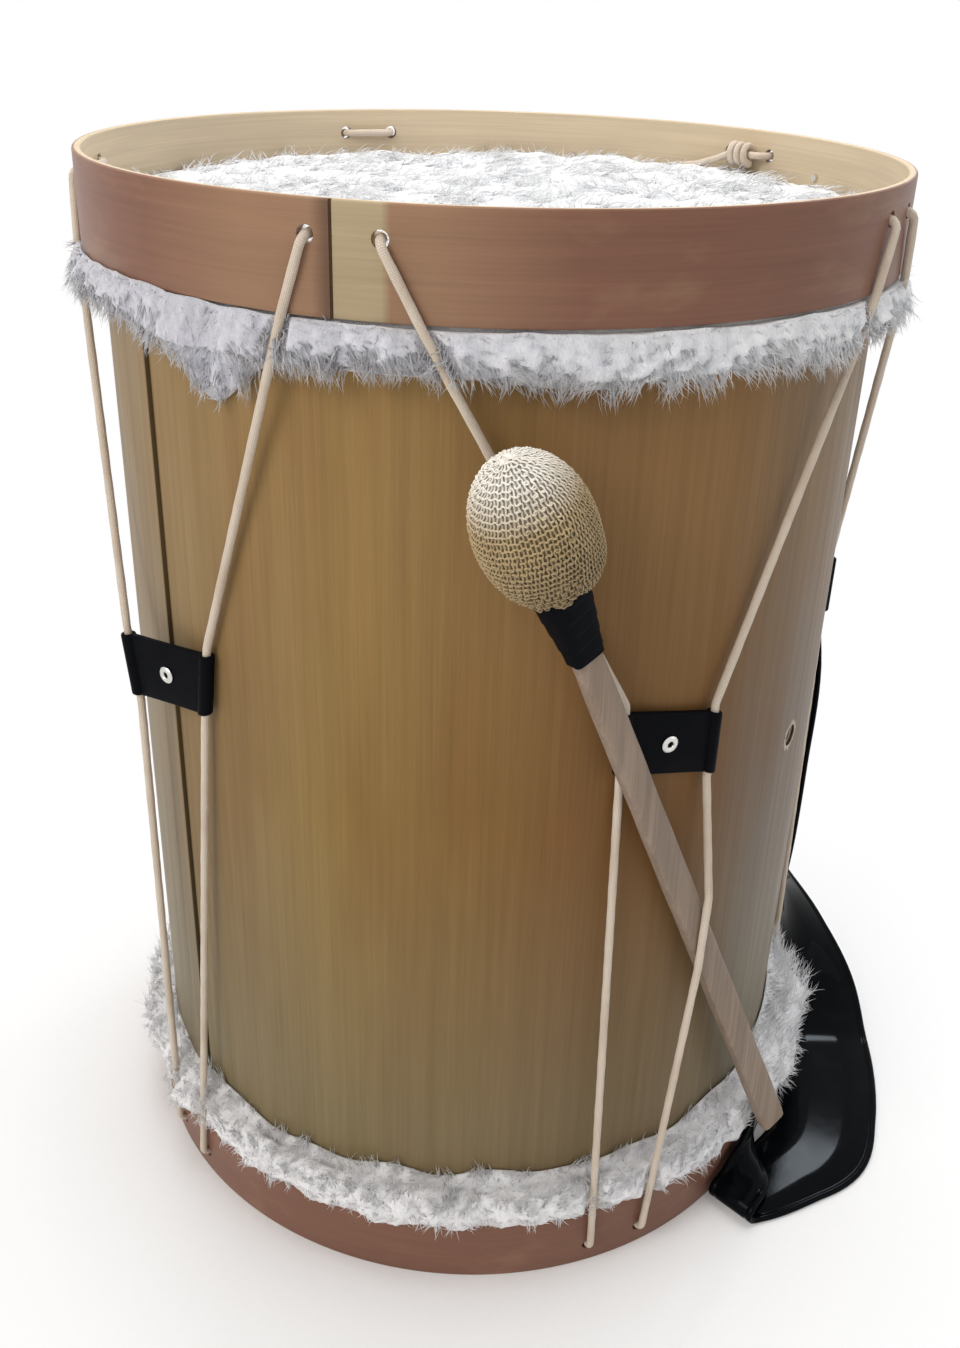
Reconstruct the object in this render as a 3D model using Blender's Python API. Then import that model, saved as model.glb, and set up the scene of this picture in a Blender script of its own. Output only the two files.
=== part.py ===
"""Bombo leguero: a cord-laced drum with woolly skins at both ends, its mallet and its shoulder strap.

Metres, +Z up. The drum's axis is Z and it stands on its lower hoop at z = 0. Angles are in degrees
round Z, from the front (-Y, where the mallet is) towards +X. Radii are measured from the drum's axis.
"""

import math
from collections import namedtuple

import bmesh
import bpy
from mathutils import Matrix, Vector

# Fit between pieces that touch
FIT_GAP = 0.0003

# Shell
DRUM_HEIGHT = 0.563
SHELL_DIAMETER = 0.381
SHELL_WALL = 0.005
HEAD_RECESS = 0.034
RING_THICKNESS = 0.006
RING_HEIGHT = 0.030
VENT_DIAMETER = 0.008
VENT_ANGLE = 58.1
VENT_HEIGHT = 0.2934
SEAM_ANGLE = -51.7
SEAM_WIDTH = 0.0012
SEAM_DEPTH = 0.0008
BRAD_ANGLE = -45.9
BRAD_HEIGHT = 0.268
BRAD_HEAD_DIAMETER = 0.0042
BRAD_HEAD_THICKNESS = 0.0009
BRAD_SHANK_DIAMETER = 0.0018
BRAD_LENGTH = 0.004

# Skins with their wool, and the flesh hoops rolled into their edges
SKIN_THICKNESS = 0.002
PILE_HEIGHT = 0.006
ROLL_SLIT = 0.0008
FLESH_HOOP_THICKNESS = 0.0026
FLESH_HOOP_HEIGHT = 0.0154

# Counter hoops
HOOP_HEIGHT = 0.0433
HOOP_THICKNESS = 0.004
HOOP_PLAY = 0.0032
HOOP_EDGE_ROUND = 0.001
TOP_LAP_ANGLE = -17.3
BOTTOM_LAP_ANGLE = 140.0
LACING_HOLE_DIAMETER = 0.007
LACING_HOLE_INSET = 0.013
TOP_HOLES_APART = 8.4
BOTTOM_HOLES_APART = 9.2

# Lacing
CORD_DIAMETER = 0.004
CORD_BEND_RADIUS = 0.005
CORD_STAND_OFF = 0.0011
CORD_TURN_STEP = 45.0
CORD_OVER_SHAFT_HEIGHT = 0.2195
KNOT_TURNS = 2.75
KNOT_POINTS_PER_TURN = 10
KNOT_TURN_GAP = 0.0009

# Tension tabs
TAB_HEIGHT = 0.032
TAB_CORDS_APART = 0.049
TAB_LEATHER = 0.0014
TAB_CLEARANCE = 0.0008
RIVET_HEAD_DIAMETER = 0.0085
RIVET_HEAD_THICKNESS = 0.0012
RIVET_SHANK_DIAMETER = 0.0044
RIVET_BORE_DIAMETER = 0.0028
RIVET_CLENCH_DIAMETER = 0.007
RIVET_CLENCH_THICKNESS = 0.0006

# Mallet, laid over the first tab's left cord and pushed under its right cord
SHAFT_THICKNESS = 0.008
SHAFT_WIDTH_AT_HEAD = 0.0135
SHAFT_WIDTH_AT_FOOT = 0.016
SHAFT_CHAMFER = 0.002
SHAFT_CLEARANCE = 0.0028
SHAFT_OVER_TAB_ANGLE = 20.5
SHAFT_OVER_TAB_HEIGHT = 0.3185
SHAFT_UNDER_CORD_ANGLE = 36.0
SHAFT_UNDER_CORD_HEIGHT = 0.2015
SHAFT_FOOT_HEIGHT = 0.046
SHAFT_SOCKET_DEPTH = 0.040
MALLET_HEAD_HEIGHT = 0.4508
MALLET_HEAD_LENGTH = 0.0685
MALLET_HEAD_DIAMETER = 0.0492
MALLET_NECK_DIAMETER = 0.025
MALLET_MOUTH_DIAMETER = 0.017
COVER_THICKNESS = 0.004
BINDING_LENGTH = 0.0365
BINDING_TAPE = 0.0012

# Shoulder strap
STRAP_THICKNESS = 0.003
STRAP_WIDTH = 0.062
TONGUE_WIDTH = 0.022
STRAP_UPPER_ANGLE = 115.0
STRAP_UPPER_INSET = 0.020
STRAP_LOWER_ANGLE = 65.5
STRAP_LOWER_HEIGHT = 0.0165
STUD_HEAD_DIAMETER = 0.010
STUD_HEAD_THICKNESS = 0.0016
STUD_SHANK_DIAMETER = 0.004

# Facets
ROUND_STEPS = 48
SMALL_ROUND_STEPS = 12
CORD_BEVEL_RESOLUTION = 2
EGG_STEPS = 9
TAB_ARC_STEPS = 8
BINDING_STEPS = 24
STRAP_STEPS_PER_SPAN = 3

# One station for each tension tab, going round: the top pair of holes before it, the tab with its
# height, its turn away from the shell, the skew that raises its right end and how far its cords part
# upwards on each side, and the bottom pair of holes under it
Station = namedtuple("Station", "top tab height turn skew flare bottom")
STATIONS = (
    Station(top=-16.0, tab=26.75, height=0.3288, turn=0.0, skew=-11.0, flare=0.0, bottom=25.2),
    Station(top=61.6, tab=96.3, height=0.337, turn=0.0, skew=0.0, flare=0.0, bottom=96.3),
    Station(top=131.0, tab=167.2, height=0.335, turn=0.0, skew=0.0, flare=0.0, bottom=167.2),
    Station(top=203.5, tab=238.5, height=0.337, turn=0.0, skew=0.0, flare=0.0, bottom=238.5),
    Station(top=273.5, tab=311.95, height=0.3356, turn=14.4, skew=4.6, flare=0.004, bottom=305.8),
)
KNOT_STATION = 2
MALLET_STATION = 0

# Radii and heights that follow from the sizes above
SHELL_RADIUS = SHELL_DIAMETER / 2
SHELL_BOTTOM = HEAD_RECESS
SHELL_TOP = DRUM_HEIGHT - HEAD_RECESS
SKIN_INNER_RADIUS = SHELL_RADIUS + FIT_GAP
SKIN_OUTER_RADIUS = SKIN_INNER_RADIUS + SKIN_THICKNESS
FLESH_INNER_RADIUS = SKIN_OUTER_RADIUS + FIT_GAP
FLESH_OUTER_RADIUS = FLESH_INNER_RADIUS + FLESH_HOOP_THICKNESS
ROLL_RADIUS = FLESH_OUTER_RADIUS + FIT_GAP + SKIN_THICKNESS
ROLL_TOP = DRUM_HEIGHT - HOOP_HEIGHT - FIT_GAP
ROLL_BOTTOM = ROLL_TOP - 2 * (SKIN_THICKNESS + FIT_GAP) - FLESH_HOOP_HEIGHT
HOOP_INNER_RADIUS = SKIN_OUTER_RADIUS + HOOP_PLAY
HOOP_OUTER_RADIUS = HOOP_INNER_RADIUS + HOOP_THICKNESS
CORD_RADIUS = CORD_DIAMETER / 2
CORD_OUTER_ROUTE = max(HOOP_OUTER_RADIUS, ROLL_RADIUS) + CORD_STAND_OFF + CORD_RADIUS
CORD_INNER_ROUTE = HOOP_INNER_RADIUS - CORD_STAND_OFF - CORD_RADIUS
CORD_HOOP_EDGE_ROUTE = HOOP_OUTER_RADIUS + FIT_GAP + CORD_RADIUS
CORD_ROLL_ROUTE = ROLL_RADIUS + 2 * FIT_GAP + CORD_RADIUS
TOP_HOLE_HEIGHT = DRUM_HEIGHT - LACING_HOLE_INSET
BOTTOM_HOLE_HEIGHT = LACING_HOLE_INSET
TAB_SLEEVE_RADIUS = CORD_RADIUS + FIT_GAP + TAB_LEATHER
TAB_CORD_RADIUS = SHELL_RADIUS + TAB_CLEARANCE + TAB_SLEEVE_RADIUS
TAB_WEB_HALF = TAB_LEATHER + FIT_GAP / 2

Frame = namedtuple("Frame", "foot along outward across")


def polar(angle, radius, height):
    """Point at an angle round the drum."""
    turn = math.radians(angle)
    return Vector((radius * math.sin(turn), -radius * math.cos(turn), height))


def outward_at(angle):
    """Direction that points away from the drum's axis."""
    return polar(angle, 1.0, 0.0)


def finish(name, colour, roughness, metallic=0.0):
    """Plain material of one colour."""
    material = bpy.data.materials.new(name)
    material.use_nodes = True
    shader = material.node_tree.nodes["Principled BSDF"]
    shader.inputs["Base Color"].default_value = (*colour, 1.0)
    shader.inputs["Roughness"].default_value = roughness
    shader.inputs["Metallic"].default_value = metallic
    return material


def add_object(name, data, material):
    """Object in the scene that shows data in one material."""
    part = bpy.data.objects.new(name, data)
    data.materials.clear()
    data.materials.append(material)
    bpy.context.scene.collection.objects.link(part)
    return part


def as_mesh(name, shape):
    """Mesh made from a bmesh, with its faces pointing out and its round sides smooth."""
    bmesh.ops.recalc_face_normals(shape, faces=shape.faces)
    mesh = bpy.data.meshes.new(name)
    shape.to_mesh(mesh)
    shape.free()
    mesh.shade_smooth()
    mesh.set_sharp_from_angle(angle=math.radians(35))
    return mesh


def add_cutter(name, shape):
    """Hidden object that only cuts others."""
    cutter = bpy.data.objects.new(name, as_mesh(name, shape))
    cutter.hide_render = True
    cutter.display_type = "WIRE"
    bpy.context.scene.collection.objects.link(cutter)
    return cutter


def cut(part, cutter):
    """Take the cutter's shape out of a part."""
    modifier = part.modifiers.new(cutter.name, "BOOLEAN")
    modifier.operation = "DIFFERENCE"
    modifier.object = cutter


def loft(rings, closed_ends=True):
    """Skin over rings of equally many points, with flat ends, or joined last to first."""
    shape = bmesh.new()
    rows = [[shape.verts.new(point) for point in ring] for ring in rings]
    following = rows[1:] if closed_ends else rows[1:] + rows[:1]
    for row, after in zip(rows, following):
        for i in range(len(row)):
            j = (i + 1) % len(row)
            shape.faces.new((row[i], row[j], after[j], after[i]))
    if closed_ends:
        shape.faces.new(rows[0])
        shape.faces.new(rows[-1])
    return shape


def turned(profile, steps=ROUND_STEPS):
    """Closed outline of (radius, height) points turned round Z; a point at radius 0 is a pole."""
    shape = bmesh.new()
    rings = []
    for radius, height in profile:
        if radius == 0.0:
            rings.append([shape.verts.new((0.0, 0.0, height))] * steps)
        else:
            rings.append([shape.verts.new(polar(360 * i / steps, radius, height)) for i in range(steps)])
    for ring, after in zip(rings, rings[1:] + rings[:1]):
        for i in range(steps):
            j = (i + 1) % steps
            corners = list(dict.fromkeys((ring[i], ring[j], after[j], after[i])))
            if len(corners) > 2:
                shape.faces.new(corners)
    return shape


def turned_over(profile):
    """Outline of the same piece at the drum's other end."""
    return [(radius, DRUM_HEIGHT - height) for radius, height in profile]


def band_profile(inner, outer, low, high, edge=0.0):
    """Outline of a ring's section, with its corners cut by edge."""
    if edge == 0.0:
        return [(inner, low), (inner, high), (outer, high), (outer, low)]
    return [
        (inner, low + edge),
        (inner, high - edge),
        (inner + edge, high),
        (outer - edge, high),
        (outer, high - edge),
        (outer, low + edge),
        (outer - edge, low),
        (inner + edge, low),
    ]


def add_radial_rod(shape, angle, height, near, far, diameter):
    """Round rod from one radius to another."""
    place = (
        Matrix.Translation(polar(angle, (near + far) / 2, height))
        @ Matrix.Rotation(math.radians(angle), 4, "Z")
        @ Matrix.Rotation(math.radians(90), 4, "X")
    )
    bmesh.ops.create_cone(
        shape,
        cap_ends=True,
        segments=SMALL_ROUND_STEPS,
        radius1=diameter / 2,
        radius2=diameter / 2,
        depth=far - near,
        matrix=place,
    )


def add_radial_slot(shape, angle, low, high, radius, width, depth):
    """Upright bar that cuts a groove of a width and depth into a round wall."""
    place = (
        Matrix.Translation(polar(angle, radius, (low + high) / 2))
        @ Matrix.Rotation(math.radians(angle), 4, "Z")
        @ Matrix.Diagonal((width, 2 * depth, 1.2 * (high - low), 1.0))
    )
    bmesh.ops.create_cube(shape, size=1.0, matrix=place)


def turned_to_face(angle, place):
    """Matrix that points a turned piece's +Z away from the drum at a place on it."""
    return (
        Matrix.Translation(place)
        @ Matrix.Rotation(math.radians(angle), 4, "Z")
        @ Matrix.Rotation(math.radians(90), 4, "X")
    )


def hole_angles(centre, apart):
    """Left and right hole of a pair."""
    return centre - apart / 2, centre + apart / 2


def make_shell(wood, metal):
    """Plywood tube with its lap seam, vent and brad, and the rings glued into its ends."""
    inner = SHELL_RADIUS - SHELL_WALL
    shell = add_object(
        "shell", as_mesh("shell", turned(band_profile(inner, SHELL_RADIUS, SHELL_BOTTOM, SHELL_TOP))), wood
    )
    holes = bmesh.new()
    add_radial_rod(holes, VENT_ANGLE, VENT_HEIGHT, inner - SHELL_WALL, SHELL_RADIUS + SHELL_WALL, VENT_DIAMETER)
    brad_hole = BRAD_SHANK_DIAMETER + 2 * FIT_GAP
    add_radial_rod(
        holes, BRAD_ANGLE, BRAD_HEIGHT, SHELL_RADIUS - BRAD_LENGTH - FIT_GAP, SHELL_RADIUS + SHELL_WALL, brad_hole
    )
    add_radial_slot(holes, SEAM_ANGLE, SHELL_BOTTOM, SHELL_TOP, SHELL_RADIUS, SEAM_WIDTH, SEAM_DEPTH)
    cut(shell, add_cutter("shell_cutter", holes))

    ring_outer = inner - FIT_GAP
    ring = band_profile(ring_outer - RING_THICKNESS, ring_outer, SHELL_TOP - RING_HEIGHT, SHELL_TOP)
    add_object("top_reinforcing_ring", as_mesh("top_reinforcing_ring", turned(ring)), wood)
    add_object("bottom_reinforcing_ring", as_mesh("bottom_reinforcing_ring", turned(turned_over(ring))), wood)

    head = BRAD_HEAD_DIAMETER / 2
    shank = BRAD_SHANK_DIAMETER / 2
    brad = [
        (0.0, -BRAD_LENGTH),
        (shank, -BRAD_LENGTH),
        (shank, FIT_GAP),
        (head, FIT_GAP),
        (0.6 * head, FIT_GAP + BRAD_HEAD_THICKNESS),
        (0.0, FIT_GAP + BRAD_HEAD_THICKNESS),
    ]
    nail = add_object("seam_brad", as_mesh("seam_brad", turned(brad, SMALL_ROUND_STEPS)), metal)
    nail.matrix_world = turned_to_face(BRAD_ANGLE, polar(BRAD_ANGLE, SHELL_RADIUS, BRAD_HEIGHT))


def make_heads(wool, wood):
    """Skins drawn over the shell's ends and rolled round their flesh hoops."""
    skin_under = SHELL_TOP + FIT_GAP
    pile_top = skin_under + SKIN_THICKNESS + PILE_HEIGHT
    flap_edge = SKIN_OUTER_RADIUS + ROLL_SLIT
    roll_inside = FLESH_OUTER_RADIUS + FIT_GAP
    skin = [
        (0.0, skin_under),
        (SKIN_INNER_RADIUS, skin_under),
        (SKIN_INNER_RADIUS, ROLL_BOTTOM),
        (ROLL_RADIUS - SKIN_THICKNESS, ROLL_BOTTOM),
        (ROLL_RADIUS, ROLL_BOTTOM + SKIN_THICKNESS),
        (ROLL_RADIUS, ROLL_TOP - SKIN_THICKNESS / 2),
        (ROLL_RADIUS - SKIN_THICKNESS / 2, ROLL_TOP),
        (flap_edge, ROLL_TOP),
        (flap_edge, ROLL_TOP - SKIN_THICKNESS),
        (roll_inside, ROLL_TOP - SKIN_THICKNESS),
        (roll_inside, ROLL_BOTTOM + SKIN_THICKNESS),
        (SKIN_OUTER_RADIUS, ROLL_BOTTOM + SKIN_THICKNESS),
        (SKIN_OUTER_RADIUS, pile_top - PILE_HEIGHT / 2),
        (SKIN_OUTER_RADIUS - PILE_HEIGHT / 2, pile_top),
        (0.0, pile_top),
    ]
    flesh_low = ROLL_BOTTOM + SKIN_THICKNESS + FIT_GAP
    flesh = band_profile(FLESH_INNER_RADIUS, FLESH_OUTER_RADIUS, flesh_low, flesh_low + FLESH_HOOP_HEIGHT)
    for end, over in (("top", list), ("bottom", turned_over)):
        add_object(f"{end}_head", as_mesh(f"{end}_head", turned(over(skin))), wool)
        add_object(f"{end}_flesh_hoop", as_mesh(f"{end}_flesh_hoop", turned(over(flesh))), wood)


def make_hoop(name, low, lap_angle, angles, hole_height, stud_cutter, wood):
    """Bent counter hoop with its lap joint and its lacing holes."""
    high = low + HOOP_HEIGHT
    section = band_profile(HOOP_INNER_RADIUS, HOOP_OUTER_RADIUS, low, high, HOOP_EDGE_ROUND)
    hoop = add_object(name, as_mesh(name, turned(section)), wood)
    holes = bmesh.new()
    for angle in angles:
        near = HOOP_INNER_RADIUS - HOOP_THICKNESS
        far = HOOP_OUTER_RADIUS + HOOP_THICKNESS
        add_radial_rod(holes, angle, hole_height, near, far, LACING_HOLE_DIAMETER)
    add_radial_slot(holes, lap_angle, low, high, HOOP_OUTER_RADIUS, SEAM_WIDTH, SEAM_DEPTH)
    cut(hoop, add_cutter(f"{name}_cutter", holes))
    cut(hoop, stud_cutter)


def tab_half_width(station, height):
    """Half the distance between a tab's cords, at a height from its middle; they may part upwards."""
    return TAB_CORDS_APART / 2 + station.flare * height / TAB_HEIGHT


def tab_matrix(station):
    """Place of a tab: its own -Y faces away from the drum, X runs across the cords, Z up."""
    half = tab_half_width(station, TAB_HEIGHT / 2)
    plane = math.sqrt(TAB_CORD_RADIUS**2 - half**2)
    swing = math.radians(station.turn)
    plane += half * math.sin(abs(swing))
    return (
        Matrix.Translation(polar(station.tab, plane, station.height))
        @ Matrix.Rotation(math.radians(station.tab) + swing, 4, "Z")
    )


def tab_point(station, x, y, height):
    """A place in a tab's own frame: the leather is skewed along its upright cords."""
    return Vector((x, y, height + x * math.tan(math.radians(station.skew))))


def tab_blank_mesh(station):
    """Leather folded round two cords and riveted flat between them, in the tab's own frame."""
    start = math.pi - math.asin(TAB_WEB_HALF / TAB_SLEEVE_RADIUS)
    rings = []
    for height in (-TAB_HEIGHT / 2, TAB_HEIGHT / 2):
        ring = []
        for side in (1, -1):
            for i in range(TAB_ARC_STEPS + 1):
                turn = start - 2 * start * i / TAB_ARC_STEPS
                x = tab_half_width(station, height) + TAB_SLEEVE_RADIUS * math.cos(turn)
                y = TAB_SLEEVE_RADIUS * math.sin(turn)
                ring.append(tab_point(station, side * x, side * y, height))
        rings.append(ring)
    blank = bpy.data.objects.new("tab_blank", as_mesh("tab_blank", loft(rings)))
    bpy.context.scene.collection.objects.link(blank)

    holes = bmesh.new()
    for side in (-1, 1):
        lean = side * math.atan2(station.flare, TAB_HEIGHT)
        bmesh.ops.create_cone(
            holes,
            cap_ends=True,
            segments=SMALL_ROUND_STEPS,
            radius1=CORD_RADIUS + FIT_GAP,
            radius2=CORD_RADIUS + FIT_GAP,
            depth=2 * TAB_HEIGHT,
            matrix=Matrix.Translation(tab_point(station, side * TAB_CORDS_APART / 2, 0.0, 0.0))
            @ Matrix.Rotation(lean, 4, "Y"),
        )
    bmesh.ops.create_cone(
        holes,
        cap_ends=True,
        segments=SMALL_ROUND_STEPS,
        radius1=RIVET_SHANK_DIAMETER / 2 + FIT_GAP,
        radius2=RIVET_SHANK_DIAMETER / 2 + FIT_GAP,
        depth=4 * TAB_SLEEVE_RADIUS,
        matrix=Matrix.Rotation(math.radians(90), 4, "X"),
    )
    cutter = add_cutter("tab_cutter", holes)
    cut(blank, cutter)
    seen = blank.evaluated_get(bpy.context.evaluated_depsgraph_get())
    mesh = bpy.data.meshes.new_from_object(seen)
    mesh.name = "tension_tab"
    bpy.data.objects.remove(blank)
    bpy.data.objects.remove(cutter)
    return mesh


def make_tabs(leather, metal):
    """Each tab on an empty that stands on its sliding line, with its rivet."""
    front = TAB_WEB_HALF + FIT_GAP
    rivet = [
        (0.0, 0.0),
        (RIVET_BORE_DIAMETER / 2, 0.0),
        (RIVET_BORE_DIAMETER / 2, front + 0.6 * RIVET_HEAD_THICKNESS),
        (RIVET_SHANK_DIAMETER / 2, front + RIVET_HEAD_THICKNESS),
        (RIVET_HEAD_DIAMETER / 2, front + 0.4 * RIVET_HEAD_THICKNESS),
        (RIVET_HEAD_DIAMETER / 2, front),
        (RIVET_SHANK_DIAMETER / 2, front),
        (RIVET_SHANK_DIAMETER / 2, -front),
        (RIVET_CLENCH_DIAMETER / 2, -front),
        (RIVET_CLENCH_DIAMETER / 2, -front - RIVET_CLENCH_THICKNESS),
        (0.0, -front - RIVET_CLENCH_THICKNESS),
    ]
    rivet_mesh = as_mesh("tab_rivet", turned(rivet, SMALL_ROUND_STEPS))
    for number, station in enumerate(STATIONS, start=1):
        slide = bpy.data.objects.new(f"tab_slide_{number}", None)
        bpy.context.scene.collection.objects.link(slide)
        slide.matrix_world = tab_matrix(station)
        add_object(f"tension_tab_{number}", tab_blank_mesh(station), leather).parent = slide
        stud = add_object(f"tab_rivet_{number}", rivet_mesh, metal)
        stud.parent = slide
        stud.rotation_euler.x = math.radians(90)


def shaft_frame():
    """The mallet's line: over the tab's left sleeve, under its right cord, down to its foot."""
    over_tab = TAB_CORD_RADIUS + TAB_SLEEVE_RADIUS + SHAFT_CLEARANCE + SHAFT_THICKNESS / 2
    under_cord = SHELL_RADIUS + SHAFT_CLEARANCE + 2 * SHAFT_CHAMFER + SHAFT_THICKNESS / 2
    upper = polar(SHAFT_OVER_TAB_ANGLE, over_tab, SHAFT_OVER_TAB_HEIGHT)
    lower = polar(SHAFT_UNDER_CORD_ANGLE, under_cord, SHAFT_UNDER_CORD_HEIGHT)
    along = (upper - lower).normalized()
    outward = outward_at(SHAFT_UNDER_CORD_ANGLE)
    outward = (outward - along * outward.dot(along)).normalized()
    foot = lower + along * (SHAFT_FOOT_HEIGHT - SHAFT_UNDER_CORD_HEIGHT) / along.z
    return Frame(foot, along, outward, along.cross(outward))


def shaft_width_at(distance, shoulder):
    """Width of the shaft at a distance from its foot; it is even above the shoulder."""
    share = min(distance / shoulder, 1.0)
    return SHAFT_WIDTH_AT_FOOT + (SHAFT_WIDTH_AT_HEAD - SHAFT_WIDTH_AT_FOOT) * share


def bar_ring(width, thickness, chamfer, height):
    """Section of a flat bar with its long edges cut off."""
    x = width / 2
    y = thickness / 2
    corners = (
        (x, y - chamfer),
        (x - chamfer, y),
        (chamfer - x, y),
        (-x, y - chamfer),
        (-x, chamfer - y),
        (chamfer - x, -y),
        (x - chamfer, -y),
        (x, chamfer - y),
    )
    return [Vector((a, b, height)) for a, b in corners]


def rounded_ring(half_width, half_depth, power, height):
    """Section between an ellipse (power 2) and a rectangle with soft corners."""
    ring = []
    for i in range(BINDING_STEPS):
        turn = 2 * math.pi * i / BINDING_STEPS
        across = abs(math.cos(turn) / half_width) ** power
        deep = abs(math.sin(turn) / half_depth) ** power
        reach = (across + deep) ** (-1 / power)
        ring.append(Vector((reach * math.cos(turn), reach * math.sin(turn), height)))
    return ring


def egg_profile(centre, half_length, radius, mouth_radius):
    """Points of an egg's side, from its top pole down to its mouth."""
    last = math.pi - math.asin(mouth_radius / radius)
    points = [(0.0, centre + half_length)]
    for i in range(1, EGG_STEPS + 1):
        turn = last * i / EGG_STEPS
        points.append((radius * math.sin(turn), centre + half_length * math.cos(turn)))
    return points


def make_mallet(wood, tape, knit):
    """Stick, core, knitted cover and tape, on an empty at the stick's foot; +Z is towards the head."""
    frame = shaft_frame()
    carrier = bpy.data.objects.new("mallet_slide", None)
    bpy.context.scene.collection.objects.link(carrier)
    axes = Matrix((-frame.across, -frame.outward, frame.along)).transposed()
    carrier.matrix_world = Matrix.Translation(frame.foot) @ axes.to_4x4()

    centre = (MALLET_HEAD_HEIGHT - SHAFT_FOOT_HEIGHT) / frame.along.z
    half_length = MALLET_HEAD_LENGTH / 2
    radius = MALLET_HEAD_DIAMETER / 2
    outer = egg_profile(centre, half_length, radius, MALLET_NECK_DIAMETER / 2)
    inner = egg_profile(
        centre, half_length - COVER_THICKNESS, radius - COVER_THICKNESS, MALLET_MOUTH_DIAMETER / 2
    )
    cover = turned(outer + inner[::-1], 2 * SMALL_ROUND_STEPS)
    add_object("mallet_cover", as_mesh("mallet_cover", cover), knit).parent = carrier

    core_inset = COVER_THICKNESS + 2 * FIT_GAP
    core_profile = egg_profile(centre, half_length - core_inset, radius - core_inset, 0.0)[:-1]
    core_profile.append((0.0, centre - half_length + core_inset))
    core = add_object("mallet_core", as_mesh("mallet_core", turned(core_profile, 2 * SMALL_ROUND_STEPS)), wood)
    core.parent = carrier
    core_bottom = centre - half_length + core_inset
    shaft_top = core_bottom + SHAFT_SOCKET_DEPTH
    grip = 2 * FIT_GAP
    socket_section = (SHAFT_WIDTH_AT_HEAD + grip, SHAFT_THICKNESS + grip, SHAFT_CHAMFER)
    socket = [bar_ring(*socket_section, core_bottom - radius), bar_ring(*socket_section, shaft_top + FIT_GAP)]
    socket_cutter = add_cutter("socket_cutter", loft(socket))
    socket_cutter.parent = carrier
    cut(core, socket_cutter)

    neck = outer[-1][1]
    binding_top = neck - FIT_GAP
    shoulder = binding_top - BINDING_LENGTH
    heights = (0.0, shoulder, shaft_top)
    shaft = [bar_ring(shaft_width_at(z, shoulder), SHAFT_THICKNESS, SHAFT_CHAMFER, z) for z in heights]
    add_object("mallet_shaft", as_mesh("mallet_shaft", loft(shaft)), wood).parent = carrier

    inside = (SHAFT_WIDTH_AT_HEAD / 2 + FIT_GAP, SHAFT_THICKNESS / 2 + FIT_GAP)
    around = (inside[0] + BINDING_TAPE, inside[1] + BINDING_TAPE)
    wide = MALLET_NECK_DIAMETER / 2
    binding = [
        rounded_ring(*around, 5, shoulder),
        rounded_ring((around[0] + wide) / 2, (around[1] + wide) / 2, 3, (shoulder + binding_top) / 2),
        rounded_ring(wide, wide, 2, binding_top),
        rounded_ring(*inside, 5, binding_top),
        rounded_ring(*inside, 5, shoulder),
    ]
    add_object("mallet_binding", as_mesh("mallet_binding", loft(binding, closed_ends=False)), tape).parent = carrier


def rounded_route(corners, bend_radius):
    """Points along straight runs between corners, with each corner bent to an arc."""
    points = [corners[0]]
    for before, corner, after in zip(corners, corners[1:], corners[2:]):
        back = before - corner
        ahead = after - corner
        turn = math.pi - back.angle(ahead)
        if turn < math.radians(1):
            continue
        trim = min(bend_radius * math.tan(turn / 2), 0.45 * back.length, 0.45 * ahead.length)
        radius = trim / math.tan(turn / 2)
        bisector = (back.normalized() + ahead.normalized()).normalized()
        centre = corner + bisector * radius / math.cos(turn / 2)
        spoke = corner + back.normalized() * trim - centre
        axis = ahead.cross(back)
        steps = max(1, math.ceil(math.degrees(turn) / CORD_TURN_STEP))
        for i in range(steps + 1):
            points.append(centre + Matrix.Rotation(turn * i / steps, 3, axis) @ spoke)
    points.append(corners[-1])
    return points


def tab_cord_point(station, side, height):
    """Centre of a cord in a tab, side -1 on its left and 1 on its right, above or below its middle."""
    return tab_matrix(station) @ tab_point(station, side * tab_half_width(station, height), 0.0, height)


def over_shaft(before, after):
    """Two corners that lift a cord over the mallet's shaft where it crosses it."""
    frame = shaft_frame()
    along = frame.along
    travel = (after - before).normalized()
    travel = (travel - frame.outward * travel.dot(frame.outward)).normalized()
    crossing_angle = travel.angle(along)
    reach = (SHAFT_WIDTH_AT_FOOT / 2 + CORD_RADIUS) / math.sin(crossing_angle)
    distance = (CORD_OVER_SHAFT_HEIGHT - SHAFT_FOOT_HEIGHT) / along.z
    lift = SHAFT_THICKNESS / 2 + CORD_RADIUS + FIT_GAP
    centre = frame.foot + along * distance + frame.outward * lift
    return [centre - travel * reach, centre + travel * reach]


def over_edges(hole, far):
    """Corners where a cord from a hole bears on its hoop's edge and on the roll, on its way to a far point."""
    top = hole.z > DRUM_HEIGHT / 2
    corners = []
    start = hole
    for inset, least in ((HOOP_HEIGHT, CORD_HOOP_EDGE_ROUTE), (DRUM_HEIGHT - ROLL_BOTTOM, CORD_ROLL_ROUTE)):
        height = DRUM_HEIGHT - inset if top else inset
        spot = start.lerp(far, (height - start.z) / (far.z - start.z))
        flat = Vector((spot.x, spot.y, 0.0))
        if flat.length < least:
            start = flat.normalized() * least + Vector((0.0, 0.0, height))
            corners.append(start)
    return corners


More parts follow.
